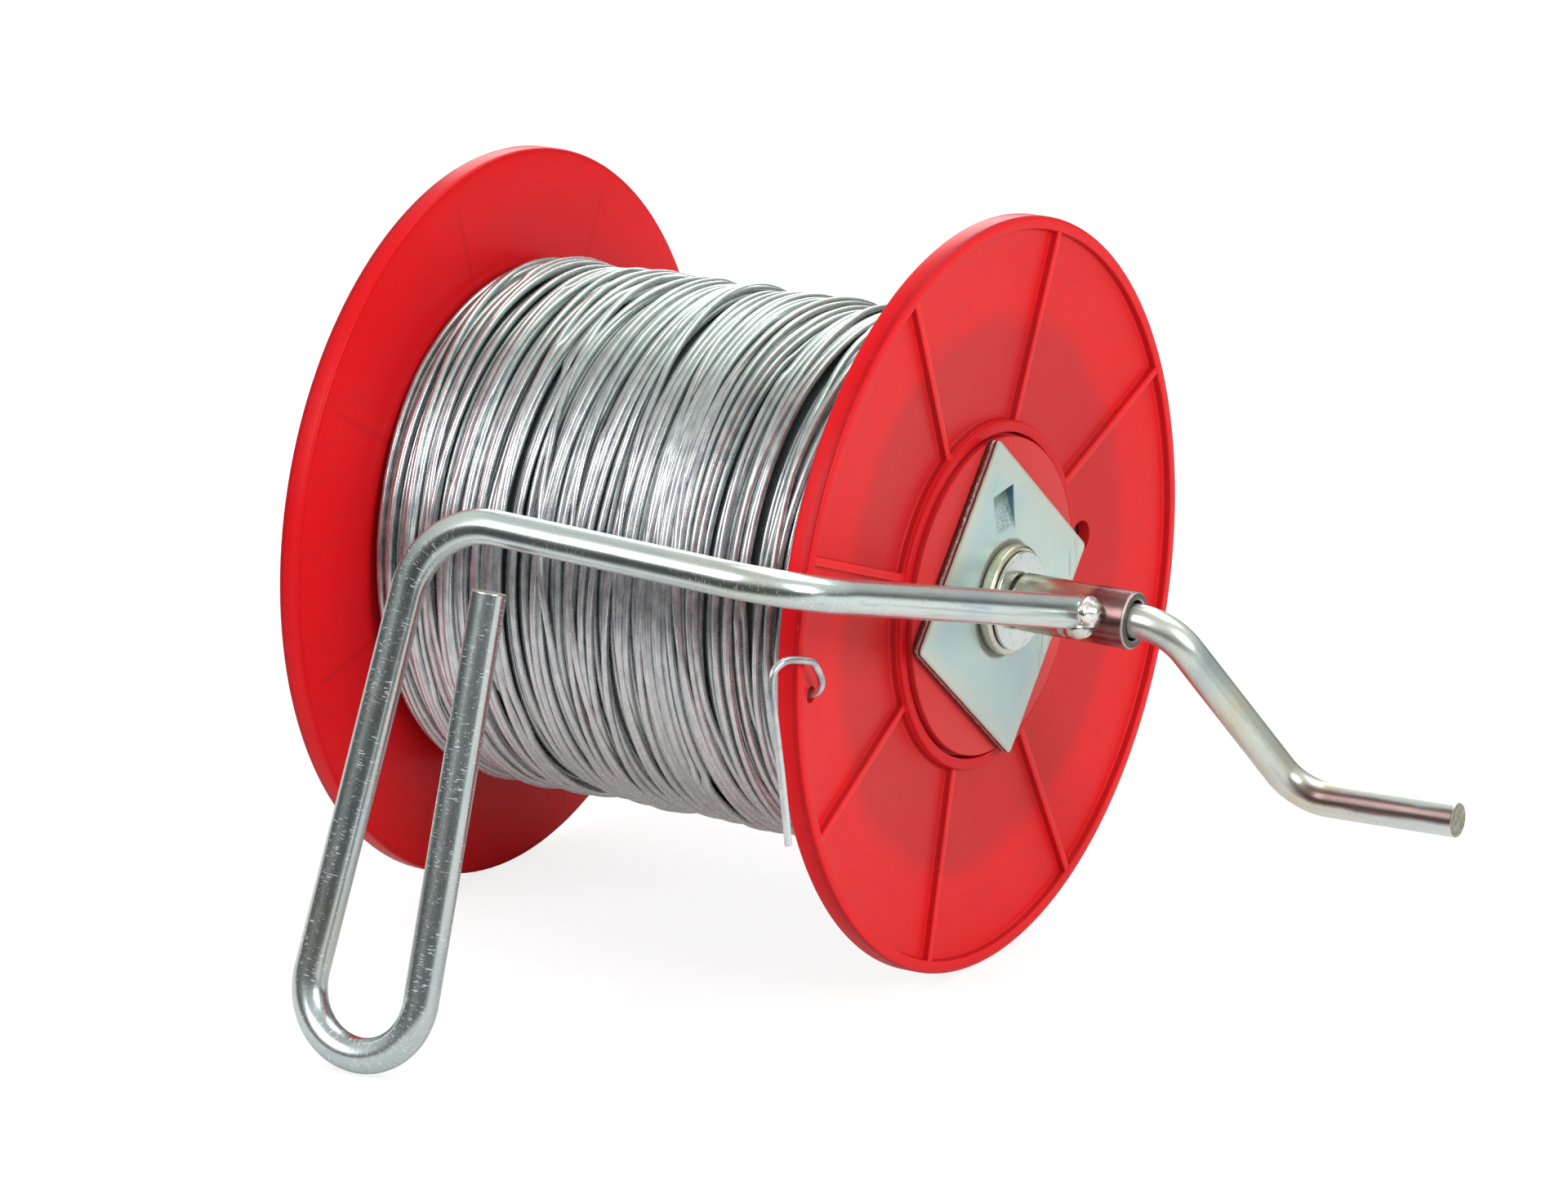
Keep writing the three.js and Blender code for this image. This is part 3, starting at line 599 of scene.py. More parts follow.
# per layer: pitch between turns, depth of the wires' centres, how far bundles and single turns wander
wireLayers = [
    dict(name="woundWireEven", pitch=2.14, depth=2.8, bundle=0.5, stray=0.25, sides=8),
    dict(name="woundWireLoose", pitch=2.9, depth=1.05, bundle=1.9, stray=2.3, sides=10),
    dict(name="woundWireCross", pitch=12, depth=0.3, bundle=3, stray=5, sides=12),
]
wireFinish = dict(
    # in the next row, the last two colours are painted shade with a greener tint for the top turns and
    # painted light for the low turns
    bright=(0.58, 0.62, 0.62), dull=(0.37, 0.40, 0.43), over=(0.41, 0.49, 0.44), under=(0.84, 0.85, 0.84),
    # the deep colour is painted shade for the lower layers and the core
    spangle=(0.34, 0.35, 0.40), speck=(0.12, 0.12, 0.13), deepShade=(0.10, 0.115, 0.12), metallic=0.82,
)


def wireMaterial(name, dark):
    shader = newShader(name)
    place = shader.objectPlace()
    spangle = shader.noise(place, 420, 3, 0.6)
    streak = shader.noise(shader.objectPlace(scale=(0.35, 1, 1)), 200, 2)
    specks = shader.range(shader.noise(place, 1500, 2, 0.6), 0.68, 0.76)
    height = shader.split(place)[2]
    colour = shader.mix(shader.range(streak, 0.35, 0.7), wireFinish["bright"], wireFinish["dull"])
    # a greener tint with painted shade on the top turns, and painted light on the low turns
    colour = shader.mix(shader.range(height, 0.140, 0.172) * 0.6, colour, wireFinish["over"])
    colour = shader.mix(shader.range(height, 0.120, 0.060) * 0.6, colour, wireFinish["under"])
    colour = shader.mix(shader.range(spangle, 0.55, 0.75) * 0.22, colour, wireFinish["spangle"])
    colour = shader.mix(specks * 0.4, colour, wireFinish["speck"])
    # painted shade: the dark share darkens the lower layer and the core
    colour = shader.mix(dark, colour, wireFinish["deepShade"])
    normal = shader.bump(spangle + streak * 0.6, 0.03, 0.0003)
    return shader.surface(colour, 0.22 + spangle * 0.12 + specks * 0.2, wireFinish["metallic"], normal)


def wireSweepTree(material):
    # a round wire along every path, as a node tree
    tree = bpy.data.node_groups.new("woundWire", "GeometryNodeTree")
    inputs = {}
    for name, kind in (("Paths", "Geometry"), ("Wire radius", "Float"), ("Sides", "Int")):
        inputs[name] = tree.interface.new_socket(name, in_out="INPUT", socket_type="NodeSocket" + kind)
    tree.interface.new_socket("Geometry", in_out="OUTPUT", socket_type="NodeSocketGeometry")
    start, end, curve, ring, skin, smooth, real, paint = [tree.nodes.new(kind) for kind in (
        "NodeGroupInput", "NodeGroupOutput", "GeometryNodeMeshToCurve", "GeometryNodeCurvePrimitiveCircle",
        "GeometryNodeCurveToMesh", "GeometryNodeSetShadeSmooth", "GeometryNodeRealizeInstances",
        "GeometryNodeSetMaterial")]
    skin.inputs["Fill Caps"].default_value = True
    paint.inputs["Material"].default_value = material
    for source, output, target, socket in (
            (start, "Paths", curve, "Mesh"), (start, "Wire radius", ring, "Radius"),
            (start, "Sides", ring, "Resolution"), (curve, "Curve", skin, "Curve"),
            (ring, "Curve", skin, "Profile Curve"), (skin, "Mesh", smooth, "Geometry"),
            (smooth, "Geometry", real, "Geometry"), (real, "Geometry", paint, "Geometry"),
            (paint, "Geometry", end, "Geometry")):
        tree.links.new(source.outputs[output], target.inputs[socket])
    return tree, inputs["Wire radius"].identifier, inputs["Sides"].identifier


def windingEdges():
    edge = webBack(winding["radius"] - winding["crown"]) - winding["sideGap"]
    return edge, edge - winding["shoulder"]


def windingSurface(x):
    # the outside of the winding: bundles of turns between two shoulders
    w = winding
    reach = windingEdges()[1]
    swell = w["swell"] * np.sin(math.pi * w["swells"] * (x + reach) / reach)
    fall = np.clip((np.abs(x) - reach) / w["shoulder"], 0, 1) * w["crown"]
    return w["radius"] + np.where(np.abs(x) < reach, swell, 0) - fall


def waves(pairs, turns, phase):
    # slow waves along the wire, each a height and a number of waves per turn
    total = 0
    for i, (height, rate) in enumerate(pairs, 1):
        total = total + height * np.sin(tau * rate * turns + 2.4 * (phase + i))
    return total


def layWire():
    # each turn lies on the turns already there, so that crossing ones ride over one another
    w = winding
    share = np.arange(w["samples"]) / w["samples"]
    limit = windingEdges()[0] - w["wire"]
    gap = 2 * w["wire"]
    kernel = np.exp(-np.linspace(-2, 2, 5) ** 2)  # evens out each turn's height
    kernel /= kernel.sum()
    calm = 0.45 + 0.275 * (1 + np.cos(tau * share - 2.3))  # the wire wanders less on one side of the spool
    beneathX, beneathR, laid = [], [], []
    for number, layer in enumerate(wireLayers):
        turns = int(2 * limit / layer["pitch"])
        for turn in range(turns):
            u = turn + share
            bundle = waves(w["bundleWaves"], u, 8 * number)
            stray = waves(w["strayWaves"], u, 8 * number + 4)
            x = -limit + layer["pitch"] * u + calm * (layer["bundle"] * bundle + layer["stray"] * stray)
            x = np.where(np.abs(x) > limit, np.sign(x) * (2 * limit - np.abs(x)), x)
            if number == 1:
                x = -x  # the second layer is laid on the way back
            outside = windingSurface(x)
            floor = outside - layer["depth"]
            if beneathX:
                apart = np.abs(np.array(beneathX) - x)
                lift = np.array(beneathR) + w["nesting"] * np.sqrt(np.maximum(0, gap ** 2 - apart ** 2))
                floor = np.maximum(floor, np.where(apart < gap, lift, 0).max(axis=0))
            wrapped = np.concatenate([floor[-2:], floor, floor[:2]])
            radius = np.maximum(np.convolve(wrapped, kernel, "valid"), floor - 0.15)
            radius = np.minimum(radius, outside - w["wire"] + w["rise"])
            beneathX.append(x)
            beneathR.append(radius)
        laid.append((np.array(beneathX[-turns:]), np.array(beneathR[-turns:])))
    return laid


def wirePiece(name, xs, rs, material, sides):
    turns, samples = xs.shape
    theta = np.tile(np.arange(samples) / samples * tau, turns)
    x, r = xs.ravel(), rs.ravel()
    points = toFrame(np.stack([x, r * np.cos(theta), r * np.sin(theta)], 1))
    mesh = bpy.data.meshes.new(name)
    mesh.from_pydata(points.tolist(), [(i, i + 1) for i in range(len(points) - 1)], [])
    made = bpy.data.objects.new(name, mesh)
    scene.collection.objects.link(made)
    tree, radiusInput, sidesInput = wireSweepTree(material)
    sweep = made.modifiers.new("wire", "NODES")
    sweep.node_group = tree
    sweep[radiusInput] = winding["wire"] * mm
    sweep[sidesInput] = sides
    return applied(made)


wireTop = wireMaterial("fenceWire", 0.0)
# the lower layer and the core get painted shade
wireShadedDeep = wireMaterial("fenceWireShadedDeep", 0.15)
wireShadedCore = wireMaterial("fenceWireShadedCore", 0.8)
for layer, (xs, rs) in zip(wireLayers, layWire()):
    print(layer["name"], [round(float(value), 2) for value in (rs.min(), rs.mean(), rs.max())])
    material = wireShadedDeep if layer is wireLayers[0] else wireTop
    piece = wirePiece(layer["name"], xs, rs, material, layer["sides"])
    finishPiece(piece, material, "spool", ["wire_winding"] if layer is wireLayers[-1] else ())

# the winding's plain core, just under the lowest turns, darkened with painted shade
onBarrel, packedEdge = spool["barrelRadius"] + 0.4, webBack(66) - 0.5
packed = [(onBarrel, webBack(onBarrel) - 0.4)]
for x in np.linspace(packedEdge, -packedEdge, 90):
    packed.append((float(windingSurface(x)) - winding["core"], float(x)))
packed.append((onBarrel, -webBack(onBarrel) + 0.4))
finishPiece(latheMesh("woundWireCore", packed, 120), wireShadedCore, "spool")

# the wire's end: from the winding through the hole near the lip, over the lip and down
tail = dict(hook=14.4, drop=36.6)
holeAt = across(holes[1]["angle"], holes[1]["radius"])
tailStart = winding["radius"] + winding["wire"] + 0.3
tailInside = webBack(tailStart) - 1.35


def hooked(out, past, up):
    # places round the lip, in shares of the hook's size
    size = tail["hook"]
    return spool["lipFace"] + out * size, -spool["radius"] - past * size, holeAt[2] + up * size


fall = tail["drop"] / tail["hook"]
tailPath = smoothPath([
    (tailInside - 2.1, -tailStart, holeAt[2]), (tailInside - 1.05, -tailStart - 8.4, holeAt[2]),
    (spool["rimBack"] - 2.1, holeAt[1] + 1.37, holeAt[2]),
    (spool["rimBack"] + 0.3, holeAt[1] + 0.2, holeAt[2]), (spool["webAtRim"], holeAt[1], holeAt[2] + 0.3),
    hooked(0, -0.79, 0.14), hooked(0.09, -0.69, 0.36), hooked(0.14, -0.34, 0.73), hooked(0.12, -0.07, 0.855),
    hooked(0, 0.4, 0.94), hooked(-0.1, 0.665, 0.79), hooked(-0.11, 0.735, 0.48), hooked(-0.07, 0.695, 0.07),
    hooked(0, 0.52, -fall / 2.4), hooked(0.08, 0.31, -fall),
], 170)
freeWire = sweepMesh("freeWireEnd", tailPath, winding["wire"], 20, 0.15)
finishPiece(freeWire, wireTop, "spool", ["wire_tail"])
print("wire ready")


zincFinish = dict(
    warm=(0.80, 0.70, 0.46), cool=(0.50, 0.64, 0.72), streak=(0.20, 0.25, 0.26), pit=(0.10, 0.11, 0.11),
    # the first colour in the next row is painted shade for the legs of the grip
    legs=(0.34, 0.38, 0.40), tick=(0.80, 0.84, 0.84), sawnDark=(0.09, 0.085, 0.06), sawn=(0.36, 0.35, 0.27),
    yellowed=(0.60, 0.50, 0.29), blued=(0.30, 0.42, 0.50), darkBand=(0.12, 0.06, 0.055),
)


def zincMaterial(name, tint, roughness, warm, metallic=1.0, ticks=0.0, bandShare=0.0, onRod=True):
    # on a rod the pattern follows its length, and its sheared ends are bare
    finish = zincFinish
    shader = newShader(name)
    if onRod:
        stretched = shader.attribute("rodPlace", (1, 1, 0.06))
        plain = shader.attribute("rodPlace")
    else:
        stretched = shader.objectPlace(scale=(4, 1, 1))
        plain = shader.objectPlace()
    streak = shader.noise(stretched, 700, 4, 0.6)
    cloud = shader.noise(plain, 55, 4, 0.6)
    warmth = shader.noise(plain, 24, 2)
    colour = shader.mix(shader.range(warmth, 0.5, 0.72) * warm, tint, finish["warm"])
    colour = shader.mix(shader.range(warmth, 0.5, 0.3) * 0.5, colour, finish["cool"])
    colour = shader.mix(shader.range(streak, 0.52, 0.74) * 0.45, colour, finish["streak"])
    pits = shader.range(shader.noise(plain, 1400, 3, 0.6), 0.61, 0.71) * shader.range(cloud, 0.40, 0.6)
    colour = shader.mix(pits * 0.55, colour, finish["pit"])
    if ticks:
        # short bright marks across the legs of the grip
        reach, height = shader.split(shader.objectPlace())[1:]
        onLegs = shader.range(height, 0.150, 0.130) * shader.range(reach, -0.080, -0.098)
        # painted shade: the legs of the grip are darker
        colour = shader.mix(onLegs * 0.35, colour, finish["legs"])
        crossed = shader.noise(shader.attribute("rodPlace", (0.7, 0.7, 3.6)), 620, 2, 0.4)
        marks = shader.range(crossed, 0.62, 0.68) * shader.range(cloud, 0.40, 0.54)
        specks = shader.range(shader.noise(plain, 1700, 2, 0.6), 0.60, 0.70) * shader.range(cloud, 0.60, 0.45)
        marks = (marks + specks * 0.5).clamped() * onLegs
        colour = shader.mix(marks * ticks, colour, finish["tick"])
        metallic = metallic - marks * ticks
    if onRod:
        aside, up, along = shader.split(plain)
        sheared = shader.range((aside * aside + up * up) ** 0.5, 0.00455, 0.00470, 1.0, 0.0)
        sawn = shader.noise(shader.attribute("rodPlace", (3, 0.6, 1)), 1100, 3, 0.6)
        bare = shader.mix(shader.range(sawn, 0.35, 0.65), finish["sawnDark"], finish["sawn"])
        colour = shader.mix(sheared * 0.95, colour, bare)
        roughness = roughness + sheared * 0.35
        metallic = metallic - sheared * 0.6
    if bandShare:
        # the crank: yellowed slope, blued first bend, and a dark band along one side of the grip
        slope = shader.range(along, 0.234, 0.260) * shader.range(along, 0.300, 0.286)
        colour = shader.mix(slope * shader.range(cloud, 0.36, 0.60) * 0.6, colour, finish["yellowed"])
        bend = shader.range(along, 0.207, 0.216) * shader.range(along, 0.248, 0.230)
        colour = shader.mix(bend * shader.range(cloud, 0.60, 0.40) * 0.5, colour, finish["blued"])
        away = aside * math.cos(-0.12) + up * math.sin(-0.12) + (cloud - 0.5) * 0.0008
        band = shader.range(away, 0.0039, 0.0045) * shader.range(along, 0.270, 0.284)
        colour = shader.mix(band * (1.0 - sheared) * bandShare, colour, finish["darkBand"])
    rough = roughness + streak * 0.10 + pits * 0.2 + (cloud - 0.5) * 0.12
    normal = shader.bump(streak * 0.6 + cloud * 1.5 - pits * 0.5, 0.10, 0.0004)
    return shader.surface(colour, rough.clamped(), metallic, normal)


plateFinish = dict(
    pale=(0.57, 0.69, 0.62), cool=(0.45, 0.62, 0.62), rim=(0.62, 0.64, 0.53), cloud=(0.64, 0.70, 0.62),
    # in the next row, the first colour is painted shade for the plate's lower part
    lower=(0.34, 0.42, 0.42), scuff=(0.22, 0.24, 0.20), darkBossRing=(0.14, 0.11, 0.08), brushed=(0.22, 0.33, 0.32),
    # in the next row, the first two colours are painted shade for the tooth and the last one painted shade
    # for the side walls
    upper=(0.13, 0.17, 0.11), shaded=(0.05, 0.14, 0.24), rubbed=(0.36, 0.34, 0.24), shadedWall=(0.09, 0.03, 0.03),
    torn=(0.75, 0.78, 0.72),
)


def plateMaterial():
    finish = plateFinish
    shader = newShader("zincPlate")
    place = shader.objectPlace()
    x, y, z, radius = shader.fromAxis()
    turn = math.radians(45 + plate["turn"])
    u = y * math.cos(turn) + z * math.sin(turn)
    v = z * math.cos(turn) - y * math.sin(turn)
    edge = u.positive().joined("MAXIMUM", v.positive())
    nearEdge = shader.range(edge, 0.0245, 0.0325)
    cloud = shader.noise(place, 45, 4, 0.6)
    broad = shader.noise(place, 22, 2)
    grain = shader.noise(place, 1300, 3, 0.6)
    colour = shader.mix(shader.range(broad, 0.38, 0.62), finish["pale"], finish["cool"])
    colour = shader.mix(nearEdge * 0.75, colour, finish["rim"])
    colour = shader.mix(shader.range(cloud, 0.52, 0.72) * 0.4, colour, finish["cloud"])
    # painted shade: the plate gets darker towards the bottom
    lower = shader.range(z + (broad - 0.5) * 0.02, 0.004, -0.034)
    colour = shader.mix(lower * 0.5, colour, finish["lower"])

    # scuffs along one side, and a dark ring round the boss
    lines = shader.noise(shader.objectPlace(scale=(1, 0.4, 5)), 260, 3, 0.6)
    scuffs = shader.range(lines, 0.60, 0.68) * shader.range(v * -1.0, 0.018, 0.031)
    colour = shader.mix(scuffs * 0.6, colour, finish["scuff"])
    darkBossRing = shader.range(radius + (cloud - 0.5) * 0.003, 0.0158, 0.0170, 1.0, 0.0)
    colour = shader.mix(darkBossRing * 0.75, colour, finish["darkBossRing"])

    # the punched tooth lies below the plate's face, with painted shade on its upper part and on one facet
    below = shader.range(x, 0.0852, 0.0855, 1.0, 0.0)
    tooth = below * shader.range(edge, 0.0308, 0.0300)
    lean = math.radians(plate["turn"])
    acrossTooth = y * math.cos(lean) + z * math.sin(lean)
    upTooth = z * math.cos(lean) - y * math.sin(lean) - plate["toothDrop"] * mm
    w, h = plate["toothWidth"] * mm / 2, plate["toothHeight"] * mm / 2
    (a0, b0), (a1, b1) = plate["toothDeepest"], plate["toothCorners"][2]
    leftOf = (acrossTooth - a0 * w) * ((b0 - b1) * h) + (upTooth - b0 * h) * ((a1 - a0) * w)
    shadedFacet = tooth * shader.range(leftOf, 0.0, 0.000001)
    brushed = shader.noise(shader.objectPlace(scale=(1, 1, 0.35)), 900, 3, 0.65)
    colour = shader.mix(tooth * shader.range(brushed, 0.44, 0.58) * 0.85, colour, finish["brushed"])
    # painted shade on the upper part of the dent
    upper = tooth * shader.range(upTooth + (grain - 0.5) * 0.002, 0.0015, 0.0050)
    colour = shader.mix(upper * 0.7, colour, finish["upper"])
    colour = shader.mix(shadedFacet * 0.85, colour, finish["shaded"])

    # rubbed edges, and side walls in painted dark shade with a torn bright line
    rubbed = shader.range(edge + (grain - 0.5) * 0.0008, 0.0316, 0.0325)
    colour = shader.mix(rubbed * 0.45, colour, finish["rubbed"])
    sideWall = below * shader.range(edge, 0.0308, 0.0315)
    torn = shader.range(x + (grain - 0.5) * 0.0012, 0.0838, 0.0841) * shader.range(x, 0.0848, 0.0846)
    # painted dark shade on the side walls
    colour = shader.mix(sideWall * 0.95, colour, finish["shadedWall"])
    colour = shader.mix(sideWall * torn * 0.6, colour, finish["torn"])
    roughness = 0.40 + (cloud - 0.5) * 0.16 + darkBossRing * 0.3 + (grain - 0.5) * 0.10 - nearEdge * 0.05
    normal = shader.bump(grain * 0.25 + cloud * 0.8 - scuffs * 0.3, 0.16, 0.0004)
    return shader.surface(colour, roughness.clamped(), 0.6, normal)


def plateOutline():
    # a square with small round corners, in short steps so that its edge can be rough
    half = plate["side"] / 2
    square = rounded([(-half, -half), (half, -half), (half, half), (-half, half)], plate["corner"])
    outline = []
    for i, (y, z) in enumerate(square):
        nextY, nextZ = square[(i + 1) % len(square)]
        parts = max(1, int(math.hypot(nextY - y, nextZ - z) / 0.7))
        for k in range(parts):
            outline.append((y + (nextY - y) * k / parts, z + (nextZ - z) * k / parts))
    return outline


def platePiece():
    p = plate
    back, face = p["back"], p["face"]
    outline = plateOutline()
    turn = math.radians(45 + p["turn"])
    rows = [  # place along the axis, inset, roughness
        (back, 0.35, 0), (back + 0.3, 0.05, 0.05), (back + 1.0, 0.0, 0.10), (back + 1.5, 0.10, 0.16),
        (back + 1.8, 0.02, 0.05), (face - 0.45, 0.0, 0.04), (face - 0.12, 0.12, 0.02), (face, 0.45, 0.0),
    ]
    points = []
    for x, inset, rough in rows:
        for y, z in outline:
            jag = noise.noise(Vector((y * 0.9, z * 0.9, x * 2))) * rough * 2
            jag += noise.noise(Vector((y * 2.7, z * 2.7, x * 3))) * rough
            scale = 1 - (inset + jag) / max(abs(y), abs(z))
            wander = noise.noise(Vector((y * 0.6, z * 0.6, 9))) * 0.35 if rough > 0.1 else 0
            points.append((x + wander, (y * math.cos(turn) - z * math.sin(turn)) * scale,
                           (y * math.sin(turn) + z * math.cos(turn)) * scale))
    made = tidyMesh(meshObject("drivePlate", points, cappedFaces(len(rows), len(outline))))

    # the tooth: a dent in the face and the same form standing out behind
    w, h = p["toothWidth"] / 2, p["toothHeight"] / 2
    corners = [(w * a, h * b) for a, b in p["toothCorners"]]
    deepest = w * p["toothDeepest"][0], h * p["toothDeepest"][1]
    faces = [(0, 1, 2, 3), (0, 4, 1), (1, 4, 2), (2, 4, 3), (3, 4, 0)]
    dent = [atTooth(face + 0.02, y, z) for y, z in corners] + [atTooth(face - p["toothDeep"], *deepest)]
    combine(made, tidyMesh(meshObject("cutter", dent, faces)), "DIFFERENCE")
    bulge = [atTooth(back + 0.3, y * 1.02, z * 1.02) for y, z in corners] + [atTooth(back - 2.6, *deepest)]
    combine(made, tidyMesh(meshObject("cutter", bulge, faces)), "UNION")
    return tidyMesh(made, sharp=22)


zincPlain = zincMaterial("zincPlain", (0.64, 0.69, 0.66), 0.16, 0.25, onRod=False)
zincBoss = zincMaterial("zincBoss", (0.60, 0.59, 0.46), 0.22, 0.8, onRod=False)
finishPiece(platePiece(), plateMaterial(), "spool", ["drive_plate"])

boss = dict(bore=5.0, radius=15.4, back=86.0, face=89.6)
thrust = dict(radius=13.8, back=89.9, face=90.9)
bossPiece = latheMesh("shaftBoss", [
    (boss["bore"], boss["back"]), (boss["radius"] - 0.2, boss["back"]), (boss["radius"], boss["face"] - 0.6),
    (boss["radius"] - 0.9, boss["face"]), (boss["bore"], boss["face"])], 144, [0, 0.5, 0.7, 0.5, 0.2])
finishPiece(bossPiece, zincBoss, "spool", ["shaft_boss"])
thrustPiece = latheMesh("thrustWasher", [
    (boss["bore"], thrust["back"]), (thrust["radius"], thrust["back"]), (thrust["radius"], thrust["face"]),
    (boss["bore"], thrust["face"])], 144, [0, 0.15, 0.3, 0.15], 4)
finishPiece(thrustPiece, zincPlain, "spool", ["thrust_washer"])
print("drive plate ready")


crank = dict(
    shaftEnd=-104.2, corner=136.3, throw=56, lean=27, angle=-61.4, toe=2.2, gripLength=48, bend=15,
    threadStart=-84.0, threadPitch=1.5875, threadDepth=0.9, threadSteps=12,
)


def crankPoints():
    outward = across(crank["angle"])
    rise = crank["throw"] * math.tan(math.radians(crank["lean"]))
    second = np.array([crank["corner"] + rise, 0, 0]) + outward * crank["throw"]
    toe = math.radians(crank["toe"])
    end = second + (np.array([math.cos(toe), 0, 0]) - outward * math.sin(toe)) * crank["gripLength"]
    return [(crank["threadStart"], 0, 0), (crank["corner"], 0, 0), second, end]


def threadPiece():
    c, sides = crank, 48
    start, end = c["threadStart"] + 0.2, c["shaftEnd"]
    rows = int(abs(end - start) / c["threadPitch"] * c["threadSteps"])
    points = []
    for i in range(rows + 1):
        x = start + (end - start) * i / rows
        taper = min(1, (x - end) / 1.2)
        for j in range(sides):
            phase = ((x / c["threadPitch"]) - j / sides) % 1.0
            ridge = min(1.0, abs(phase - 0.5) * 2.6)
            radius = rod["radius"] - 0.05 - c["threadDepth"] * (1 - ridge)
            radius = min(radius, rod["radius"] - 1.1 + 1.1 * taper)
            points.append(onRing(x, radius, tau * j / sides))
    return tidyMesh(meshObject("shaftThread", points, cappedFaces(rows + 1, sides)), sharp=50)


zincCrank = zincMaterial("zincCrank", (0.63, 0.68, 0.60), 0.24, 0.75, metallic=0.85, bandShare=0.9)
crankPath = withSteps(bentPath(crankPoints(), [crank["bend"]] * 2), 4)
crankPiece = sweepMesh("crankRod", crankPath, rod["radius"], rod["sides"], 0.35)
finishPiece(crankPiece, zincCrank, "spool", ["crank_rod"])
finishPiece(threadPiece(), zincPlain, "spool")
print("crank ready")


handle = dict(
    corners=[
        (113.1, 0, 0), (104.58, -143.561, 34.952), (-8.344, -142.581, 38.976),
        (-25.895, -175.915, -97.936), (10.821, -176.997, -102.38), (14.172, -146.728, 21.945),
    ],
    bends=[24, 24, 17.31, 17.31], setback=6.4,
)
zincHandle = zincMaterial("zincHandle", (0.67, 0.76, 0.73), 0.18, 0.3, metallic=0.96, ticks=0.5)
handlePath = bentPath(handle["corners"], handle["bends"])
arm = unit(handlePath[1] - handlePath[0])
handlePath[0] = handlePath[0] + arm * handle["setback"]  # the arm stops at the sleeve's wall
handlePiece = sweepMesh("handleRod", withSteps(handlePath, 4), rod["radius"], rod["sides"], 0.3)
finishPiece(handlePiece, zincHandle, "handle", ["handle_rod"])

sleeve = dict(
    outer=8, inner=5.5, start=91.5, end=126.5, torn=0.16,
    plain=(0.50, 0.48, 0.37), streak=(0.34, 0.33, 0.28), heated=(0.20, 0.105, 0.105),
    # in the next row, the last colour is a painted highlight for the end face's rims
    cloud=(0.36, 0.31, 0.28), sawnDark=(0.07, 0.06, 0.05), sawn=(0.26, 0.25, 0.21), edge=(0.80, 0.81, 0.74),
)


def sleeveMaterial():
    shader = newShader("zincSleeve")
    place = shader.objectPlace()
    x, _, _, radius = shader.fromAxis()
    cloud = shader.noise(place, 70, 4, 0.6)
    streak = shader.noise(shader.objectPlace(scale=(5, 1, 1)), 500, 3, 0.6)
    heated = shader.range(x + (cloud - 0.5) * 0.008, 0.1125, 0.1165)
    colour = shader.mix(shader.range(streak, 0.4, 0.7) * 0.5, sleeve["plain"], sleeve["streak"])
    colour = shader.mix(heated, colour, sleeve["heated"])
    colour = shader.mix(shader.range(cloud, 0.55, 0.72) * 0.25, colour, sleeve["cloud"])
    end, outer, inner = sleeve["end"] * mm, sleeve["outer"] * mm, sleeve["inner"] * mm
    endRing = shader.range(x, end - 0.0009, end - 0.0003)
    # painted highlight along the outer and inner rims of the end face
    endHighlight = shader.range(radius, outer - 0.0006, outer - 0.0003)
    endHighlight = endRing * (endHighlight + shader.range(radius, inner + 0.0007, inner + 0.0004))
    sawn = shader.noise(place, 900, 3, 0.6)
    colour = shader.mix(endRing * 0.85, colour, shader.mix(sawn, sleeve["sawnDark"], sleeve["sawn"]))
    colour = shader.mix(endHighlight.clamped() * 0.7, colour, sleeve["edge"])
    roughness = 0.20 + streak * 0.14 + (cloud - 0.5) * 0.16 + endRing * 0.25
    normal = shader.bump(streak * 0.5 + cloud * 1.4 + endRing * sawn * 2.0, 0.2, 0.0004)
    return shader.surface(colour, roughness.clamped(), 1.0, normal)


def sleevePiece():
    inner, outer, start, end = [sleeve[key] for key in ("inner", "outer", "start", "end")]
    made = latheMesh("handleSleeve", [
        (inner, start), (outer - 0.3, start), (outer, start + 0.7), (outer, end - 0.8), (outer - 0.7, end),
        (inner + 0.5, end), (inner, end - 0.8)], 96, [0.15, 0.2, 0.3, 0.3, 0.25, 0.2, 0.2], 4)
    for vertex in made.data.vertices:
        x = (vertex.co.x - centre[0]) / mm
        for place, sign in ((start, 1), (end, -1)):
            if abs(x - place) < 0.9:
                vertex.co.x += sign * mm * sleeve["torn"] * abs(noise.noise(vertex.co * 900))
    return tidyMesh(made)


finishPiece(sleevePiece(), sleeveMaterial(), "handle", ["handle_sleeve"])

# places and sizes: along the axis, along the arm, upwards
welds = dict(
    reach=8.74, dull=(0.40, 0.39, 0.33),
    upper=dict(
        place=(3.4, 0.7, 0.6), size=(4.7, 5.5, 4.3), flutes=1.0, seed=3.0,
        material="weldBead", bright=(0.84, 0.85, 0.80)),
    lower=dict(
        place=(0.6, 0.5, -4.1), size=(4.9, 4.9, 3.3), flutes=0.0, seed=8.0,
        material="weldCap", bright=(0.66, 0.67, 0.62)),
)


def weldMaterial(name, bright):
    shader = newShader(name)
    cloud = shader.noise(shader.objectPlace(), 260, 4, 0.6)
    colour = shader.mix(shader.range(cloud, 0.45, 0.7), bright, welds["dull"])
    return shader.surface(colour, 0.14 + cloud * 0.16, 1.0, shader.bump(cloud, 0.10, 0.0004))


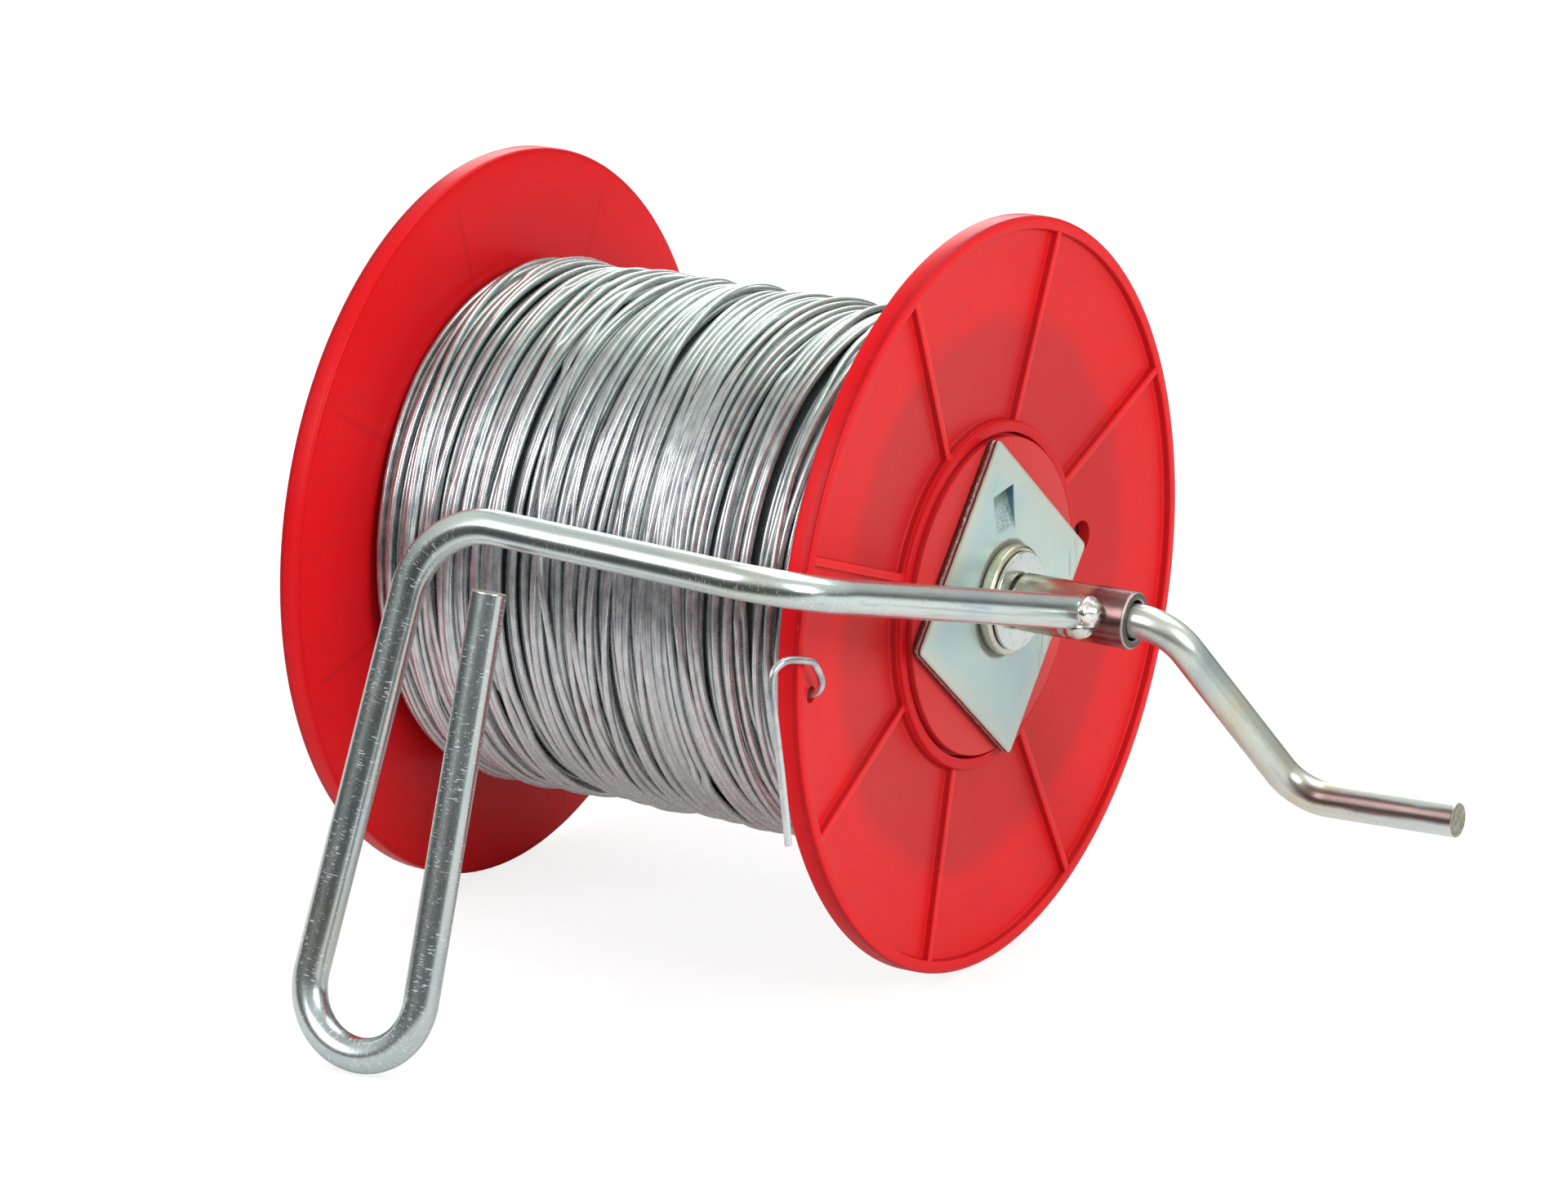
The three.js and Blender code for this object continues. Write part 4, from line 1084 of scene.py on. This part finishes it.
def weldPiece(name, weld):
    # a lump between the arm's end and the sleeve, with flutes across it
    alongAxis, upward = np.array([1, 0, 0]), unit(np.cross(arm, [1, 0, 0]))
    seat = np.array(handle["corners"][0]) + arm * welds["reach"]
    x, y, z = weld["place"]
    middle = seat + arm * y + upward * z + alongAxis * x
    work = bmesh.new()
    bmesh.ops.create_icosphere(work, subdivisions=5, radius=1.0)
    points, faces = [], [tuple(vertex.index for vertex in face.verts) for face in work.faces]
    for vertex in work.verts:
        p, flutes, seed = vertex.co, weld["flutes"], weld["seed"]
        swell = 1 + 0.06 * noise.noise(p * 1.7 + Vector((seed, 0, 0))) + flutes * 0.02 * noise.noise(p * 5)
        swell += flutes * 0.05 * math.cos(p.x * 9 + 1.8 * p.z + seed)
        local = np.array(p) * swell * np.array(weld["size"])
        points.append(middle + alongAxis * local[0] + arm * local[1] + upward * local[2])
    work.free()
    return tidyMesh(meshObject(name, points, faces), sharp=80)


for part in ("upper", "lower"):
    weld = welds[part]
    piece = weldPiece("sleeveWeld" + part.capitalize(), weld)
    material = weldMaterial(weld["material"], weld["bright"])
    finishPiece(piece, material, "handle", ["sleeve_weld_" + part])
print("handle ready")


clampWasher = dict(bore=5.05, radius=22, back=-85.2, face=-82.7)
lockWasher = dict(inner=5.1, outer=8.5, thickness=2.1, middle=-86.75, split=97, turn=346, rise=0.25, steps=72)
nut = dict(
    seat=-88.2, height=9, bore=5.05, foot=8.5, neck=7.0, wingSpan=44, wingRise=17, wingThickness=3,
)
washerPiece = latheMesh("clampWasher", [
    (clampWasher["bore"], clampWasher["back"]), (clampWasher["radius"], clampWasher["back"]),
    (clampWasher["radius"], clampWasher["face"]), (clampWasher["bore"], clampWasher["face"])],
    144, [0.3, 0.5, 0.15, 0.15], 4)
finishPiece(washerPiece, zincPlain, "clamp_washers", ["clamp_washer"])


def lockWasherPiece():
    w = lockWasher
    inner, outer, thickness = w["inner"], w["outer"], w["thickness"]
    section = rounded([(inner, 0), (outer, 0), (outer, thickness), (inner, thickness)], 0.25, 3)
    angles = np.linspace(math.radians(w["split"]), math.radians(w["split"] + w["turn"]), w["steps"])
    points = []
    for i, angle in enumerate(angles):
        lift = w["rise"] * (i / (w["steps"] - 1) - 0.5)
        for radius, x in section:
            points.append(onRing(w["middle"] + (x - thickness / 2) + lift, radius, angle))
    return tidyMesh(meshObject("lockWasher", points, cappedFaces(w["steps"], len(section))))


finishPiece(lockWasherPiece(), zincPlain, "clamp_washers", ["lock_washer"])


def wingNutPiece():
    n, seat = nut, nut["seat"]
    back = seat - n["height"]
    body = latheMesh("wingNut", [
        (n["bore"], seat), (n["foot"], seat), (n["foot"], seat - 2), (n["neck"], back), (n["bore"], back)],
        72, [0.2, 0.4, 0.8, 0.9, 0.3], 4)
    half, rise = n["wingSpan"] / 2, n["wingRise"]
    outline = rounded([
        (5.6, 1.0), (half * 0.6, 1.6), (half * 0.96, 5.6), (half * 0.99, rise * 0.8),
        (half * 0.86, rise * 0.985), (half * 0.66, rise * 0.93), (half * 0.44, 8.2), (5.6, 7.0),
    ], [0, 4, 3, 2.5, 2.0, 2.5, 3.5, 0], 8)
    middle = np.mean(np.array(outline), axis=0)
    thick = n["wingThickness"] / 2
    rows = [(-thick, 0.9), (-1.1, 0.25), (-0.5, 0.0), (0.5, 0.0), (1.1, 0.25), (thick, 0.9)]  # depth, inset
    for side in (1, -1):
        points = []
        for depth, inset in rows:
            for corner in outline:
                away = np.array(corner) - middle
                reach, x = middle + away * (1 - inset / max(2.0, np.linalg.norm(away)))
                points.append((seat - x, side * reach, side * depth))
        wing = tidyMesh(meshObject("cutter", points, cappedFaces(len(rows), len(outline))))
        combine(body, wing, "UNION")
    return tidyMesh(body, sharp=32)


finishPiece(wingNutPiece(), zincPlain, "wing_nut", ["wing_nut"])
print("fastening ready")


stage = dict(
    lens=147.087, cameraPlace=(0.85393, -1.44608, 0.55181), cameraTurn=(75.1735, -1.2470, 31.3528),
    floorReach=6.0, floorLevel=0.74, floorGlow=1.16, worldStrength=0.9,
    worldStops=[(0.0, 0.05), (0.12, 0.10), (0.28, 0.56), (0.66, 0.9), (0.92, 0.68)],
    lamps=[  # name, place, size, power
        ("keyLight", (-0.5, -1.5, 1.1), 1.0, 18), ("topLight", (0.2, 0.7, 1.6), 1.2, 10),
        ("rightLight", (1.7, -0.5, 0.9), 0.7, 20), ("backLight", (-0.9, 1.5, 0.9), 0.9, 10),
    ],
)
camera = bpy.data.objects.new("camera", bpy.data.cameras.new("camera"))
scene.collection.objects.link(camera)
camera.data.lens = stage["lens"]
camera.data.sensor_width = 36
camera.data.clip_end = 50
camera.location = stage["cameraPlace"]
camera.rotation_euler = [math.radians(angle) for angle in stage["cameraTurn"]]
scene.camera = camera
scene.view_settings.view_transform = "Standard"

# the floor: white to the camera apart from the shadow, and darker in front where metal mirrors it
paleFloor = newShader("paleFloor")
seen = paleFloor.node("ShaderNodeLightPath")
glossySeen = paleFloor.node("ShaderNodeLightPath", None, None, 3)
depth = paleFloor.split(paleFloor.objectPlace())[1]
level = paleFloor.range(depth, -0.31, -0.17, 0.02, 0.68)
mirrored = paleFloor.node("ShaderNodeCombineColor", None, {0: level, 1: level, 2: level})
matte = paleFloor.node("ShaderNodeBsdfDiffuse", None, {
    "Color": paleFloor.mix(glossySeen, (stage["floorLevel"],) * 3, mirrored)})
white = paleFloor.node("ShaderNodeEmission", None, {"Color": (1, 1, 1), "Strength": stage["floorGlow"]})
paleFloor.make("ShaderNodeOutputMaterial", None, {
    0: paleFloor.node("ShaderNodeMixShader", None, {0: seen * 0.7, 1: matte, 2: white})})
reach = stage["floorReach"]
floorMesh = bpy.data.meshes.new("floor")
floorCorners = [(-reach, -reach, 0), (reach, -reach, 0), (reach, reach, 0), (-reach, reach, 0)]
floorMesh.from_pydata(floorCorners, [], [(0, 1, 2, 3)])
floorMesh.materials.append(paleFloor.owner)
floor = bpy.data.objects.new("floor", floorMesh)
floor.location.z = -0.0005
scene.collection.objects.link(floor)

# the world: plain white to the camera, and a soft studio that brightens upwards to everything else
studio = Shader(bpy.data.worlds.new("studio"))
scene.world = studio.owner
up = studio.split(studio.node("ShaderNodeTexCoord"))[2]
stops = [(place, (level,) * 3) for place, level in stage["worldStops"]]
glow = studio.node("ShaderNodeValToRGB", {"stops": stops}, {0: up})
sky = studio.node("ShaderNodeBackground", None, {0: glow, 1: stage["worldStrength"]})
plain = studio.node("ShaderNodeBackground", None, {0: (1, 1, 1)})
studio.make("ShaderNodeOutputWorld", None, {
    0: studio.node("ShaderNodeMixShader", None, {0: studio.node("ShaderNodeLightPath"), 1: sky, 2: plain})})

for name, place, size, power in stage["lamps"]:
    light = bpy.data.lights.new(name, "AREA")
    light.shape = "SQUARE"
    light.size = size
    light.energy = power
    lamp = bpy.data.objects.new(name, light)
    lamp.location = place
    aim = Vector((0, 0, 0.1)) - lamp.location
    lamp.rotation_euler = aim.to_track_quat("-Z", "Y").to_euler()
    scene.collection.objects.link(lamp)
print("stage ready")
